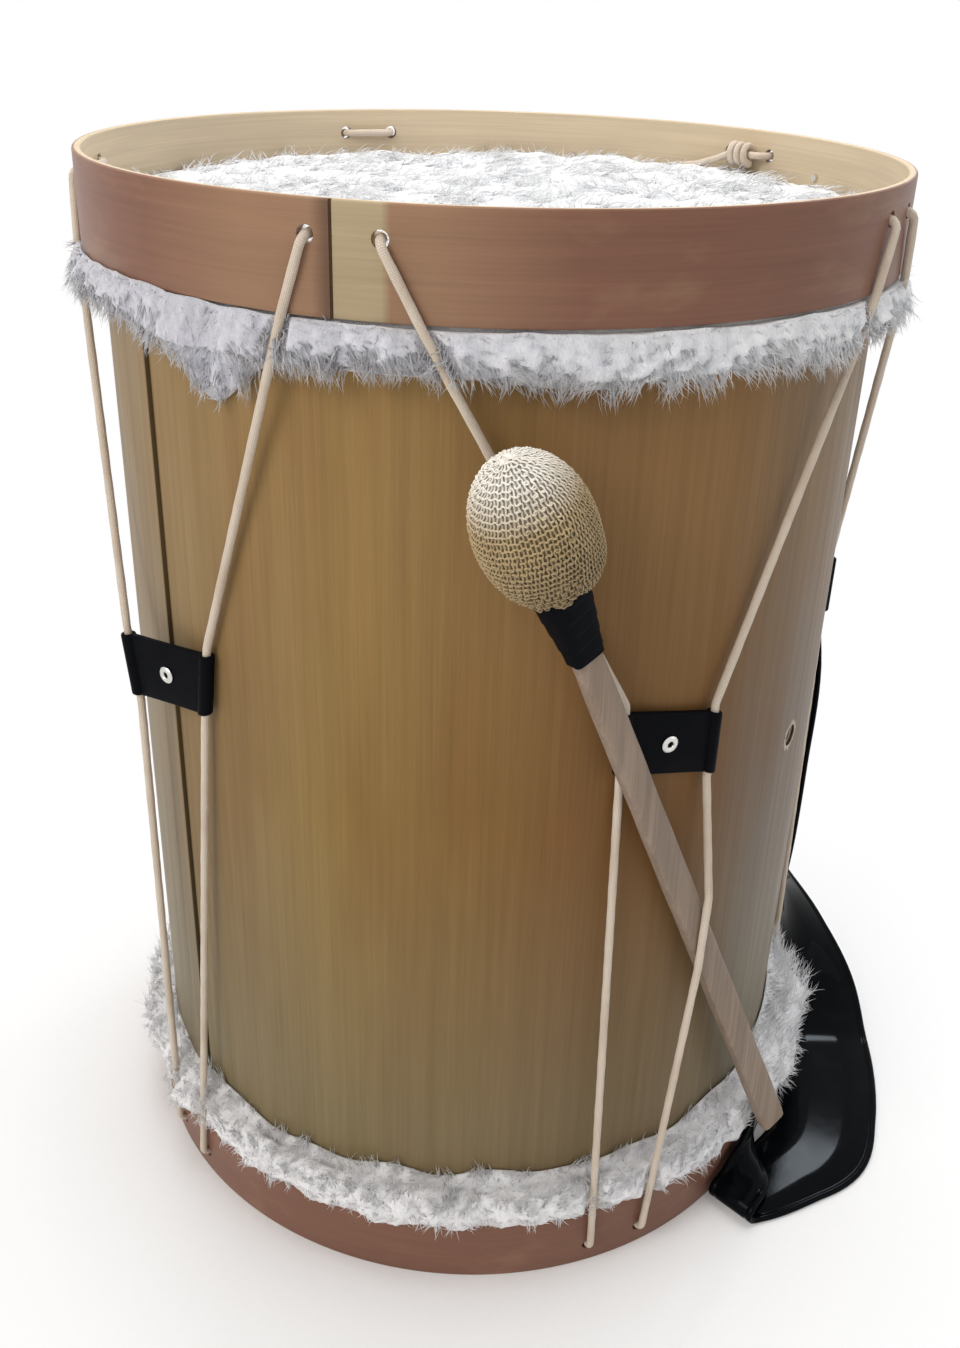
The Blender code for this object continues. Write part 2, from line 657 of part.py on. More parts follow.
def leg_corners(station, side, top_angle, bottom_angle):
    """Corners of one leg, from inside the top hoop, through the tab, to inside the bottom hoop."""
    lead = TAB_HEIGHT / 2 + CORD_DIAMETER
    into_tab = tab_cord_point(station, side, lead)
    out_of_tab = tab_cord_point(station, side, -lead)
    top_hole = polar(top_angle, CORD_OUTER_ROUTE, TOP_HOLE_HEIGHT)
    bottom_hole = polar(bottom_angle, CORD_OUTER_ROUTE, BOTTOM_HOLE_HEIGHT)
    crossing = []
    if station is STATIONS[MALLET_STATION] and side == 1:
        crossing = over_shaft(out_of_tab, bottom_hole)
    leaving = crossing[-1] if crossing else out_of_tab
    return [
        polar(top_angle, CORD_INNER_ROUTE, TOP_HOLE_HEIGHT),
        top_hole,
        *over_edges(top_hole, into_tab),
        into_tab,
        out_of_tab,
        *crossing,
        *over_edges(bottom_hole, leaving)[::-1],
        bottom_hole,
        polar(bottom_angle, CORD_INNER_ROUTE, BOTTOM_HOLE_HEIGHT),
    ]


def knot_winding(left, right):
    """Turns of the cord's first end round its last end, inside the top hoop."""
    reach = CORD_DIAMETER + KNOT_TURN_GAP
    core_radius = CORD_INNER_ROUTE - reach
    middle = (left + right) / 2
    along = polar(middle + 90, 1.0, 0.0)
    outward = outward_at(middle)
    centre = polar(middle, core_radius, TOP_HOLE_HEIGHT)
    length = KNOT_TURNS * reach
    winding = []
    count = round(KNOT_TURNS * KNOT_POINTS_PER_TURN)
    for i in range(count + 1):
        turn = 2 * math.pi * KNOT_TURNS * (1 - i / count)
        swing = outward * math.cos(turn) + Vector((0.0, 0.0, 1.0)) * math.sin(turn)
        winding.append(centre + along * length * (i / count - 0.5) + swing * reach)
    tail_drop = TOP_HOLE_HEIGHT - (SHELL_TOP + 2 * FIT_GAP + SKIN_THICKNESS + PILE_HEIGHT + CORD_RADIUS)
    core = [
        centre - along * (length / 2 + CORD_RADIUS),
        centre + along * length / 2,
        polar(right + 0.8, core_radius - CORD_RADIUS, TOP_HOLE_HEIGHT - 0.4 * tail_drop),
        polar(right + 4.5, core_radius - CORD_RADIUS, TOP_HOLE_HEIGHT - 0.8 * tail_drop),
        polar(right + 8.5, core_radius - CORD_RADIUS, TOP_HOLE_HEIGHT - tail_drop),
    ]
    return winding, core


def lacing_route():
    """The whole cord, from its end wound into the knot, round the drum, to its tail."""
    count = len(STATIONS)
    order = [STATIONS[(KNOT_STATION + i) % count] for i in range(count)]
    knot_left, knot_right = hole_angles(STATIONS[KNOT_STATION].top, TOP_HOLES_APART)
    winding, core = knot_winding(knot_left, knot_right)
    corners = []
    for station, following in zip(order, order[1:] + order[:1]):
        leaving = hole_angles(station.top, TOP_HOLES_APART)[1]
        arriving = hole_angles(following.top, TOP_HOLES_APART)[0]
        low_left, low_right = hole_angles(station.bottom, BOTTOM_HOLES_APART)
        corners += leg_corners(station, -1, leaving, low_left)
        corners += leg_corners(station, 1, arriving, low_right)[::-1]
    return winding[:-1] + rounded_route([winding[-1], *corners, *core], CORD_BEND_RADIUS)


def least_gap(points, diameter):
    """Least clear gap between stretches of a cord that are not neighbours, on points along it."""
    step = diameter / 2
    dense = [points[0]]
    travelled = [0.0]
    for start, end in zip(points, points[1:]):
        length = (end - start).length
        pieces = max(1, math.ceil(length / step))
        for i in range(1, pieces + 1):
            dense.append(start.lerp(end, i / pieces))
            travelled.append(travelled[-1] + length / pieces)
    apart = 2.5 * diameter
    best = math.inf
    for i, here in enumerate(dense):
        for j in range(i + 1, len(dense)):
            if travelled[j] - travelled[i] > apart:
                best = min(best, (dense[j] - here).length_squared)
    return math.sqrt(best) - diameter


def make_lacing(cord):
    """One unbroken cord as a tube."""
    points = lacing_route()
    curve = bpy.data.curves.new("lacing_cord", "CURVE")
    curve.dimensions = "3D"
    curve.bevel_depth = CORD_RADIUS
    curve.bevel_resolution = CORD_BEVEL_RESOLUTION
    curve.use_fill_caps = True
    spline = curve.splines.new("POLY")
    spline.points.add(len(points) - 1)
    for spot, point in zip(spline.points, points):
        spot.co = (*point, 1.0)
    add_object("lacing_cord", curve, cord)
    length = sum((after - before).length for before, after in zip(points, points[1:]))
    print(f"lacing: {length:.3f} m of cord, least gap to itself {1000 * least_gap(points, CORD_DIAMETER):.2f} mm")


def strap_stations():
    """Hand-laid stations: angle, distance outside the hoops, height, width, and how the strap lies.

    It hangs flat against the drum at lie 0, lies flat on the floor at 1 and stands on edge at 2.
    """
    on_hoop = FIT_GAP + STRAP_THICKNESS / 2
    on_floor = 0.0007 + STRAP_THICKNESS / 2
    upper = STRAP_UPPER_ANGLE
    top = DRUM_HEIGHT - STRAP_UPPER_INSET
    full = STRAP_WIDTH
    tongue = TONGUE_WIDTH
    lower = STRAP_LOWER_ANGLE
    return [
        (upper, on_hoop, top + 0.013, tongue, 0.0),
        (upper, on_hoop, top - 0.005, tongue, 0.0),
        (upper, on_hoop + 0.0045, top - 0.030, tongue, 0.0),
        (upper, on_hoop + 0.0062, top - 0.060, 0.75 * tongue + 0.25 * full, 0.0),
        (upper, on_hoop + 0.0062, top - 0.100, 0.4 * tongue + 0.6 * full, 0.0),
        (upper, on_hoop + 0.0065, top - 0.150, full, 0.0),
        (upper - 1.0, on_hoop + 0.0085, 0.325, full, 0.0),
        (upper - 5.0, on_hoop + 0.0145, 0.255, full, 0.0),
        (upper - 6.5, on_hoop + 0.0150, 0.190, full, 0.05),
        (upper - 7.5, on_hoop + 0.0155, 0.130, full, 0.10),
        (upper - 9.5, on_hoop + 0.0200, 0.084, full, 0.3),
        (upper - 12.5, on_hoop + 0.0340, 0.043, full, 0.65),
        (upper - 17.5, on_hoop + 0.0410, 0.016, full, 0.95),
        (upper - 24.5, 0.0410, on_floor + 0.002, full, 1.0),
        (upper - 32.0, 0.0405, on_floor, full, 1.0),
        (upper - 42.0, 0.0405, on_floor, full, 1.0),
        (upper - 50.0, 0.0400, on_floor, full, 1.0),
        (lower - 7.5, 0.0300, on_floor, 0.85 * full, 1.0),
        (lower - 13.0, 0.0240, on_floor, 0.68 * full, 1.0),
        (lower - 17.0, 0.0197, on_floor, 0.54 * full, 1.0),
        (lower - 19.0, 0.0183, on_floor + 0.0010, 0.49 * full, 1.0),
        (lower - 19.9, 0.0178, on_floor + 0.0055, 0.48 * full, 1.0),
        (lower - 19.1, 0.0178, on_floor + 0.0105, 0.48 * full, 1.0),
        (lower - 16.5, 0.0172, on_floor + 0.0123, 0.46 * full, 1.05),
        (lower - 13.0, 0.0145, STRAP_LOWER_HEIGHT, 0.42 * full, 1.35),
        (lower - 9.0, 0.0080, STRAP_LOWER_HEIGHT, 0.38 * full, 1.75),
        (lower - 5.5, on_hoop + 0.0010, STRAP_LOWER_HEIGHT, tongue, 2.0),
        (lower - 3.0, on_hoop, STRAP_LOWER_HEIGHT, tongue, 2.0),
        (lower + 2.5, on_hoop, STRAP_LOWER_HEIGHT, tongue, 2.0),
    ]


def smooth_between(values, span, share):
    """Value on a smooth curve through a list of values, a share of the way along one span."""
    last = len(values) - 1
    before, start, end, after = (values[min(max(span + i, 0), last)] for i in (-1, 0, 1, 2))
    slope_in = (end - before) / 2
    slope_out = (after - start) / 2
    square = share * share
    cube = square * share
    return (
        start * (2 * cube - 3 * square + 1)
        + slope_in * (cube - 2 * square + share)
        + end * (3 * square - 2 * cube)
        + slope_out * (cube - square)
    )


def strap_width_direction(angle, lie):
    """Direction across the strap: round the drum, then away from it, then down."""
    quarter = math.pi / 2
    if lie <= 1.0:
        return polar(angle + 90, math.cos(lie * quarter), 0.0) + polar(angle, math.sin(lie * quarter), 0.0)
    edge = (lie - 1.0) * quarter
    return polar(angle, math.cos(edge), -math.sin(edge))


def make_strap(leather, metal, stud_cutters):
    """Flat strap swept along its stations, with a stud at each hoop."""
    stations = strap_stations()
    columns = list(zip(*stations))
    samples = []
    for span in range(len(stations) - 1):
        for i in range(STRAP_STEPS_PER_SPAN):
            samples.append([smooth_between(column, span, i / STRAP_STEPS_PER_SPAN) for column in columns])
    samples.append(list(stations[-1]))
    centres = [polar(angle, HOOP_OUTER_RADIUS + away, height) for angle, away, height, _, _ in samples]
    rings = []
    for i, (angle, _, _, width, lie) in enumerate(samples):
        travel = centres[min(i + 1, len(centres) - 1)] - centres[max(i - 1, 0)]
        travel.normalize()
        across = strap_width_direction(angle, min(max(lie, 0.0), 2.0))
        across = (across - travel * across.dot(travel)).normalized() * width / 2
        thick = travel.cross(across).normalized() * STRAP_THICKNESS / 2
        corners = (across + thick, across - thick, -across - thick, thick - across)
        rings.append([centres[i] + corner for corner in corners])
    strap = add_object("shoulder_strap", as_mesh("shoulder_strap", loft(rings)), leather)
    length = sum((after - before).length for before, after in zip(centres, centres[1:]))
    print(f"strap: {length:.3f} m long")

    head = STUD_HEAD_DIAMETER / 2
    shank = STUD_SHANK_DIAMETER / 2
    face = 2 * FIT_GAP + STRAP_THICKNESS
    stud = [
        (0.0, -HOOP_THICKNESS),
        (shank, -HOOP_THICKNESS),
        (shank, face),
        (head, face),
        (head, face + 0.4 * STUD_HEAD_THICKNESS),
        (0.6 * head, face + STUD_HEAD_THICKNESS),
        (0.0, face + STUD_HEAD_THICKNESS),
    ]
    stud_mesh = as_mesh("strap_stud", turned(stud, SMALL_ROUND_STEPS))
    for name, (angle, height) in stud_places().items():
        cut(strap, stud_cutters[name])
        fastener = add_object(name, stud_mesh, metal)
        fastener.matrix_world = turned_to_face(angle, polar(angle, HOOP_OUTER_RADIUS, height))


def stud_places():
    """Angle and height of the studs that hold the strap to the hoops."""
    return {
        "strap_stud_upper": (STRAP_UPPER_ANGLE, DRUM_HEIGHT - STRAP_UPPER_INSET),
        "strap_stud_lower": (STRAP_LOWER_ANGLE, STRAP_LOWER_HEIGHT),
    }


def make_stud_cutters():
    """Holes for the strap's studs, through the strap and the hoop behind it."""
    cutters = {}
    for name, (angle, height) in stud_places().items():
        hole = bmesh.new()
        near = HOOP_INNER_RADIUS - HOOP_THICKNESS
        far = HOOP_OUTER_RADIUS + 3 * STRAP_THICKNESS
        add_radial_rod(hole, angle, height, near, far, STUD_SHANK_DIAMETER + 2 * FIT_GAP)
        cutters[name] = add_cutter(f"{name}_cutter", hole)
    return cutters


def main():
    for leftover in list(bpy.data.objects):
        bpy.data.objects.remove(leftover)
    veneer = finish("stained_veneer", (0.26, 0.155, 0.065), 0.45)
    hoop_wood = finish("stained_hoop_wood", (0.235, 0.105, 0.065), 0.4)
    raw_wood = finish("raw_wood", (0.50, 0.38, 0.25), 0.7)
    wool = finish("sheep_wool", (0.68, 0.66, 0.62), 0.95)
    cord = finish("waxed_cord", (0.62, 0.52, 0.41), 0.7)
    leather = finish("black_leather", (0.012, 0.012, 0.016), 0.5)
    gloss_leather = finish("black_gloss_leather", (0.008, 0.009, 0.012), 0.25)
    knit = finish("straw_knit", (0.45, 0.36, 0.21), 0.9)
    tape = finish("black_tape", (0.015, 0.018, 0.024), 0.55)
    nickel = finish("nickel_plate", (0.75, 0.74, 0.72), 0.3, 1.0)

    stud_cutters = make_stud_cutters()
    make_shell(veneer, nickel)
    make_heads(wool, raw_wood)
    top_angles = [angle for s in STATIONS for angle in hole_angles(s.top, TOP_HOLES_APART)]
    bottom_angles = [angle for s in STATIONS for angle in hole_angles(s.bottom, BOTTOM_HOLES_APART)]
    top_low = DRUM_HEIGHT - HOOP_HEIGHT
    make_hoop(
        "top_hoop", top_low, TOP_LAP_ANGLE, top_angles, TOP_HOLE_HEIGHT, stud_cutters["strap_stud_upper"], hoop_wood
    )
    make_hoop(
        "bottom_hoop",
        0.0,
        BOTTOM_LAP_ANGLE,
        bottom_angles,
        BOTTOM_HOLE_HEIGHT,
        stud_cutters["strap_stud_lower"],
        hoop_wood,
    )
    make_tabs(leather, nickel)
    make_mallet(raw_wood, tape, knit)
    make_lacing(cord)
    make_strap(gloss_leather, nickel, stud_cutters)


main()
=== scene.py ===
"""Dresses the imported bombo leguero: veneer, hoops, woolly skins, lacing, tabs, mallet and strap.

Metres, +Z up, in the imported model's frame. Angles are in degrees round the drum's axis, from the front
(-Y, where the mallet is) towards +X. Radii are measured from that axis.
"""

import math
from collections import namedtuple

import bpy
import numpy as np
from mathutils import Matrix, Vector, kdtree


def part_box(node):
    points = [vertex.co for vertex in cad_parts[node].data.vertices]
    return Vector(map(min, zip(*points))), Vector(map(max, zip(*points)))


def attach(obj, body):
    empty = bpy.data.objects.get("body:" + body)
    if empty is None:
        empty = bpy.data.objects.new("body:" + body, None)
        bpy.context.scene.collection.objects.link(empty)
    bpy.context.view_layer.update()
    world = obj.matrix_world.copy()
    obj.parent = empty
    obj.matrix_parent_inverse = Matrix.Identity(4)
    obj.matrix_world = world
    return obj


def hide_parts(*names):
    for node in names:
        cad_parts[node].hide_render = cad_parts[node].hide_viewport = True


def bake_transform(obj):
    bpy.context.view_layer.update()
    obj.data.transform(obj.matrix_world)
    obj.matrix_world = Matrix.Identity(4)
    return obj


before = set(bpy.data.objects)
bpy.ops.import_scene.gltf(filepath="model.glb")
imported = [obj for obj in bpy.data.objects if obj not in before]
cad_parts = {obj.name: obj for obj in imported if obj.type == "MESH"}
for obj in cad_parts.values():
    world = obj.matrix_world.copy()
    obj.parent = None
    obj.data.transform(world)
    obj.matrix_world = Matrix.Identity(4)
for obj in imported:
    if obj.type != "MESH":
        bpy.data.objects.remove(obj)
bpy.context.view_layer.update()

bl_info = {
    "name": "Bombo leguero",
    "version": (1, 0, 0),
    "blender": (4, 5, 0),
    "location": "View3D > Sidebar > Bombo",
    "description": "Builds the visible pieces of a cord-laced drum with woolly skins over its packed model",
    "category": "Object",
}

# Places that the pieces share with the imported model
DRUM_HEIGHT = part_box("top_hoop")[1].z
SHELL_LOW, SHELL_HIGH = (corner.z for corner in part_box("shell"))
SHELL_RADIUS = 0.1905
SHELL_WALL = 0.005
SEAM_ANGLE = -51.7
VENT_ANGLE, VENT_HEIGHT, VENT_DIAMETER = 58.1, 0.2934, 0.008
SKIN_RADIUS = 0.1928
SKIN_UNDER, SKIN_TOP = 0.5293, 0.5360
ROLL_RADIUS = 0.198
ROLL_TOP = 0.5194
ROLL_BOTTOM = 0.4994
HOOP_INNER, HOOP_OUTER, HOOP_HEIGHT = 0.196, 0.200, 0.0433
TOP_LAP, BOTTOM_LAP = -17.3, 140.0
HOLE_INSET, HOLE_DIAMETER = 0.013, 0.007
TOP_HOLES_APART, BOTTOM_HOLES_APART = 8.4, 9.2
CORD_RADIUS, CORD_BEND, CORD_ROOM, CORD_STEP = 0.002, 0.005, 0.0003, 0.002
CORD_OUTER, CORD_INNER = 0.2031, 0.1929
CORD_ON_HOOP_EDGE, CORD_ON_ROLL = 0.2023, 0.2006
TAB_HEIGHT, TAB_CORDS_APART = 0.032, 0.049
TAB_SLEEVE, TAB_WEB, TAB_CORD_RADIUS = 0.0037, 0.00155, 0.195
SHAFT_FOOT = Vector((0.179928, -0.123474, 0.046))
SHAFT_ALONG = Vector((-0.3585266, -0.2291843, 0.9049492))
SHAFT_OUTWARD = Vector((0.5788921, -0.8150819, 0.022923))
SHAFT_THICKNESS = 0.008
SHAFT_WIDE, SHAFT_NARROW = 0.016, 0.0135
SHAFT_OVER_CORD_HEIGHT = 0.2195
HEAD_CENTRE, HEAD_HALF, HEAD_RADIUS = 0.447318, 0.03425, 0.0246
NECK_RADIUS = 0.0125
BINDING_LENGTH = 0.0365
STRAP_UPPER_ANGLE, STRAP_LOWER_ANGLE = 115.0, 65.5
STRAP_UPPER_HEIGHT, STRAP_LOWER_HEIGHT = 0.543, 0.0165

# One station for each tension tab: the top pair of holes before it, the tab with its height, turn, skew
# and the parting of its cords, and the bottom pair of holes under it
Station = namedtuple("Station", "top tab height turn skew flare bottom")
STATIONS = (
    Station(-16.0, 26.75, 0.3288, 0.0, -11.0, 0.0, 25.2),
    Station(61.6, 96.3, 0.337, 0.0, 0.0, 0.0, 96.3),
    Station(131.0, 167.2, 0.335, 0.0, 0.0, 0.0, 167.2),
    Station(203.5, 238.5, 0.337, 0.0, 0.0, 0.0, 238.5),
    Station(273.5, 311.95, 0.3356, 14.4, 4.6, 0.004, 305.8),
)
KNOT_STATION = 2

# The photograph's frame and the camera fitted to it
IMAGE_HEIGHT = 1348
FOCAL_PIXELS = 1327.19
SENSOR_HEIGHT = 36.0
CAMERA_PLACE = Vector((0.0, -0.69645, 0.63457))
CAMERA_PITCH, CAMERA_ROLL, CAMERA_YAW = 0.48135, 0.03139, 0.00089

# Soft square lights: name, place, the point they face, width, power and colour
DRUM_MIDDLE, STRAP_ON_FLOOR = (0.0, 0.0, 0.28), (0.213, -0.125, 0.0)
LIGHTS = (
    ("key_light", (-1.5, -1.7, 1.9), DRUM_MIDDLE, 1.4, 33.0, "#fffaf4"),
    ("fill_light", (2.0, -0.6, 1.3), DRUM_MIDDLE, 1.2, 3.0, "#eef3ff"),
    ("top_light", (0.1, 0.4, 2.3), DRUM_MIDDLE, 1.6, 35.0, "#ffffff"),
    ("window_light", (0.59, 0.89, 1.13), STRAP_ON_FLOOR, 0.12, 1.5, "#dfeaf5"),
)
NOT_MIRRORED = "top_light"
ROOM_LIGHT = 0.42

ROUND_STEPS = 192
SMALL_ROUND_STEPS = 32
CUT_PAST = 0.004
LAP_SPAN = 45.0
UP = np.array((0.0, 0.0, 1.0))


def linear(hex_colour):
    """Linear colour of an sRGB hex value."""
    parts = [int(hex_colour[i : i + 2], 16) / 255 for i in (1, 3, 5)]
    return tuple(c / 12.92 if c <= 0.04045 else ((c + 0.055) / 1.055) ** 2.4 for c in parts)


def size(name, description, default):
    """Length that a user may change."""
    return bpy.props.FloatProperty(
        name=name, description=description, default=default, unit="LENGTH", precision=4
    )


def colour(name, description, default):
    """Colour that a user may change, from its sRGB hex value."""
    return bpy.props.FloatVectorProperty(
        name=name,
        description=description,
        default=linear(default),
        size=3,
        subtype="COLOR",
        min=0.0,
        max=1.0,
    )


class BomboSizes(bpy.types.PropertyGroup):
    """Sizes of the soft and wound pieces"""

    cord_diameter: size("Cord", "Diameter of the lacing cord", 0.004)
    edge_wool: size("Edge wool", "Length of the strands at the skins' edges", 0.018)
    face_wool: size("Face wool", "Length of the strands on the skins' faces", 0.021)
    strand: size("Wool strand", "Thickness of a loose strand of wool at its root", 0.0006)
    stitch_width: size("Stitch width", "Width of one stitch of the knitted cover", 0.0034)
    stitch_height: size("Stitch height", "Height of one row of the knitted cover", 0.0027)
    yarn: size("Yarn", "Diameter of the cover's yarn", 0.0008)
    tape_width: size("Tape", "Width of the tape wound round the mallet's neck", 0.013)
    strap_width: size("Strap width", "Width of the shoulder strap at its middle", 0.062)
    strap_thickness: size("Strap thickness", "Thickness of the shoulder strap's leather", 0.003)


class BomboColours(bpy.types.PropertyGroup):
    """Colours of the finishes"""

    veneer_gold: colour("Gold veneer", "Stained veneer left of the front", "#8d7140")
    veneer_brown: colour("Brown veneer", "Stained veneer right of the front", "#7a5731")
    # This grey veneer colour is painted shade on the drum's right side.
    veneer_shade_grey: colour("Grey veneer", "Weathered veneer on the right side", "#726558")
    veneer_lap: colour("Lap veneer", "Paler veneer left of the seam", "#847357")
    hoop_stain: colour("Hoop stain", "Stained outside of the hoops", "#805b4b")
    bare_wood: colour("Bare wood", "Unstained inside of the hoops", "#d0bea2")
    stick_wood: colour("Stick", "Bare wood of the mallet's stick", "#907f70")
    wool: colour("Wool", "Tips of the wool", "#f4f5f8")
    # This darker root colour is painted shade near the skin.
    wool_root_shade: colour("Wool roots", "Wool near the skin", "#eeeff2")
    cord: colour("Cord", "Cotton lacing cord", "#dacbb9")
    yarn: colour("Yarn", "Straw-coloured yarn of the mallet's cover", "#cab286")
    tab_leather: colour("Tab leather", "Black leather of the tension tabs", "#0b0c10")
    strap_leather: colour("Strap leather", "Polished black leather of the strap", "#07090c")
    tape: colour("Tape", "Black cloth tape on the mallet's neck", "#090a0d")
    nickel: colour("Nickel", "Plating of the rivets and studs", "#d9d7d2")
    floor: colour("Floor", "Pale floor under the drum", "#fbfbfb")


def polar(angle, radius, height):
    """Point at an angle round the drum."""
    turn = math.radians(angle)
    return Vector((radius * math.sin(turn), -radius * math.cos(turn), height))


def angle_of(places):
    """Angles round the drum, in degrees."""
    return np.degrees(np.arctan2(places[:, 0], -places[:, 1]))


def radius_of(places):
    """Distances from the drum's axis."""
    return np.hypot(places[:, 0], places[:, 1])


def on_ring(angle, radius):
    """Places on the ground at angles in radians round the drum."""
    return np.stack([radius * np.sin(angle), -radius * np.cos(angle), np.zeros(len(angle))], axis=1)


def unit(rows):
    """Rows made one long."""
    return rows / np.maximum(np.linalg.norm(rows, axis=1, keepdims=True), 1e-9)


def outward_of(places):
    """Level directions from the drum's axis to places, and those round the drum across them."""
    out = unit(places * (1.0, 1.0, 0.0))
    return out, np.stack([-out[:, 1], out[:, 0], np.zeros(len(out))], axis=1)


def travelled(line):
    """How far along a line each of its points is."""
    return np.append(0.0, np.cumsum(np.linalg.norm(np.diff(line, axis=0), axis=1)))


# Materials


def opaque(shade):
    """Colour for a socket, from a hex value or three parts; another node's output stays as it is."""
    if isinstance(shade, bpy.types.NodeSocket):
        return shade
    return (*(linear(shade) if isinstance(shade, str) else shade), 1.0)


class Nodes:
    """Short ways to add nodes to a tree. Values are numbers or other nodes' outputs."""

    def __init__(self, tree):
        self.tree = tree

    def add(self, kind, links=(), **settings):
        """Node with its settings; links gives an input's name or number its value."""
        node = self.tree.nodes.new(kind)
        for name, value in settings.items():
            setattr(node, name, value)
        for key, value in dict(links).items():
            if isinstance(value, bpy.types.NodeSocket):
                self.tree.links.new(value, node.inputs[key])
            else:
                node.inputs[key].default_value = value
        return node

    def ranged(self, value, low, high, start=0.0, end=1.0):
        """Value carried from one range to another and held at its ends."""
        links = {"Value": value, "From Min": low, "From Max": high, "To Min": start, "To Max": end}
        return self.add("ShaderNodeMapRange", links).outputs[0]

    def computed(self, operation, first, second=0.0, third=0.0):
        """Calculation on up to three values."""
        links = {0: first, 1: second, 2: third}
        return self.add("ShaderNodeMath", links, operation=operation).outputs[0]

    def times(self, first, second):
        """Product of two values."""
        return self.computed("MULTIPLY", first, second)

    def larger(self, first, second):
        """The larger of two values."""
        return self.computed("MAXIMUM", first, second)

    def seen_or_mirrored(self):
        """1 for what is looked at, straight or in a mirror or glass, and 0 for what only lights things."""
        path = self.add("ShaderNodeLightPath").outputs
        mirrored = self.larger(path["Is Glossy Ray"], path["Is Transmission Ray"])
        return self.larger(path["Is Camera Ray"], mirrored)


class Finish(Nodes):
    """Material with a Principled shader, and the ways to draw on it."""

    def __init__(self, name, sockets):
        self.material = bpy.data.materials.new(name)
        self.material.use_nodes = True
        super().__init__(self.material.node_tree)
        self.shader = self.tree.nodes["Principled BSDF"]
        for key, value in sockets.items():
            self.shader.inputs[key].default_value = value
        self.place = self.add("ShaderNodeTexCoord").outputs["Object"]

    def feed(self, key, value):
        """Lead a value to one of the shader's sockets."""
        self.tree.links.new(value, self.shader.inputs[key])

    def bump(self, height, distance, strength=1.0):
        """Relief of a height in metres."""
        links = {"Height": height, "Distance": distance, "Strength": strength}
        self.feed("Normal", self.add("ShaderNodeBump", links).outputs[0])

    def mixed(self, share, first, second, blend_type="MIX"):
        """One colour mixed into another."""
        links = {0: share, 6: opaque(first), 7: opaque(second)}
        return self.add("ShaderNodeMix", links, data_type="RGBA", blend_type=blend_type).outputs[2]

    def washed(self, shade, *layers):
        """Colour with others laid over it, each given as its share and its colour."""
        for share, layer in layers:
            shade = self.mixed(share, shade, layer)
        return shade

    def tinted(self, shade, factor):
        """Colour times a factor."""
        return self.mixed(1.0, shade, factor, "MULTIPLY")

    def ramp(self, value, stops):
        """Colour at a value on a scale of colours."""
        node = self.add("ShaderNodeValToRGB", {0: value})
        scale = node.color_ramp.elements
        for i, (spot, shade) in enumerate(stops):
            stop = scale[i] if i < 2 else scale.new(spot)
            stop.position = spot
            stop.color = opaque(shade)
        return node.outputs["Color"]

    def noise(self, sizes, detail=3.0, turn=(0.0, 0.0, 0.0)):
        """Noise whose clouds have the given sizes in metres along the pattern's own axes."""
        scale = [1.0 / length for length in sizes]
        spread = self.add("ShaderNodeMapping", {"Vector": self.place, "Rotation": turn, "Scale": scale})
        links = {"Vector": spread.outputs[0], "Scale": 1.0, "Detail": detail, "Roughness": 0.55}
        return self.add("ShaderNodeTexNoise", links).outputs["Fac"]

    def wavering(self, noise, low, high):
        """Noise spread between two values."""
        return self.ranged(noise, 0.3, 0.7, low, high)

    def wave(self, value, length):
        """Sine wave of a length in metres."""
        return self.computed("SINE", self.times(value, 2 * math.pi / length))

    def apart(self, first, second):
        """Distance between two values."""
        return self.computed("ABSOLUTE", self.computed("SUBTRACT", first, second))

    def vector(self, operation, first, second=(0.0, 0.0, 0.0)):
        """Calculation on vectors that gives a number."""
        links = {0: first, 1: second}
        return self.add("ShaderNodeVectorMath", links, operation=operation).outputs["Value"]

    def attribute(self, name):
        """Value written for each point of the mesh."""
        return self.add("ShaderNodeAttribute", attribute_name=name).outputs["Fac"]

    def axes(self, vector):
        """X, Y and Z of a vector."""
        return self.add("ShaderNodeSeparateXYZ", {0: vector}).outputs[:]

    def lay(self):
        """Metres round and along a cord, a yarn or a tape."""
        return self.axes(self.add("ShaderNodeUVMap", uv_map="lay").outputs[0])[:2]

    def round_place(self):
        """Height, turn round the drum from 0 to 1 (front at 0.5) and radius."""
        x, y, height = self.axes(self.place)
        angle = self.computed("ARCTAN2", x, self.times(y, -1.0))
        turn = self.computed("MULTIPLY_ADD", angle, 0.5 / math.pi, 0.5)
        flat = self.add("ShaderNodeCombineXYZ", {0: x, 1: y}).outputs[0]
        return height, turn, self.vector("LENGTH", flat)


def share_of_turn(angle):
    """Place of an angle on a scale from 0 at the back, through 0.5 at the front, to 1 at the back."""
    return 0.5 + angle / 360.0


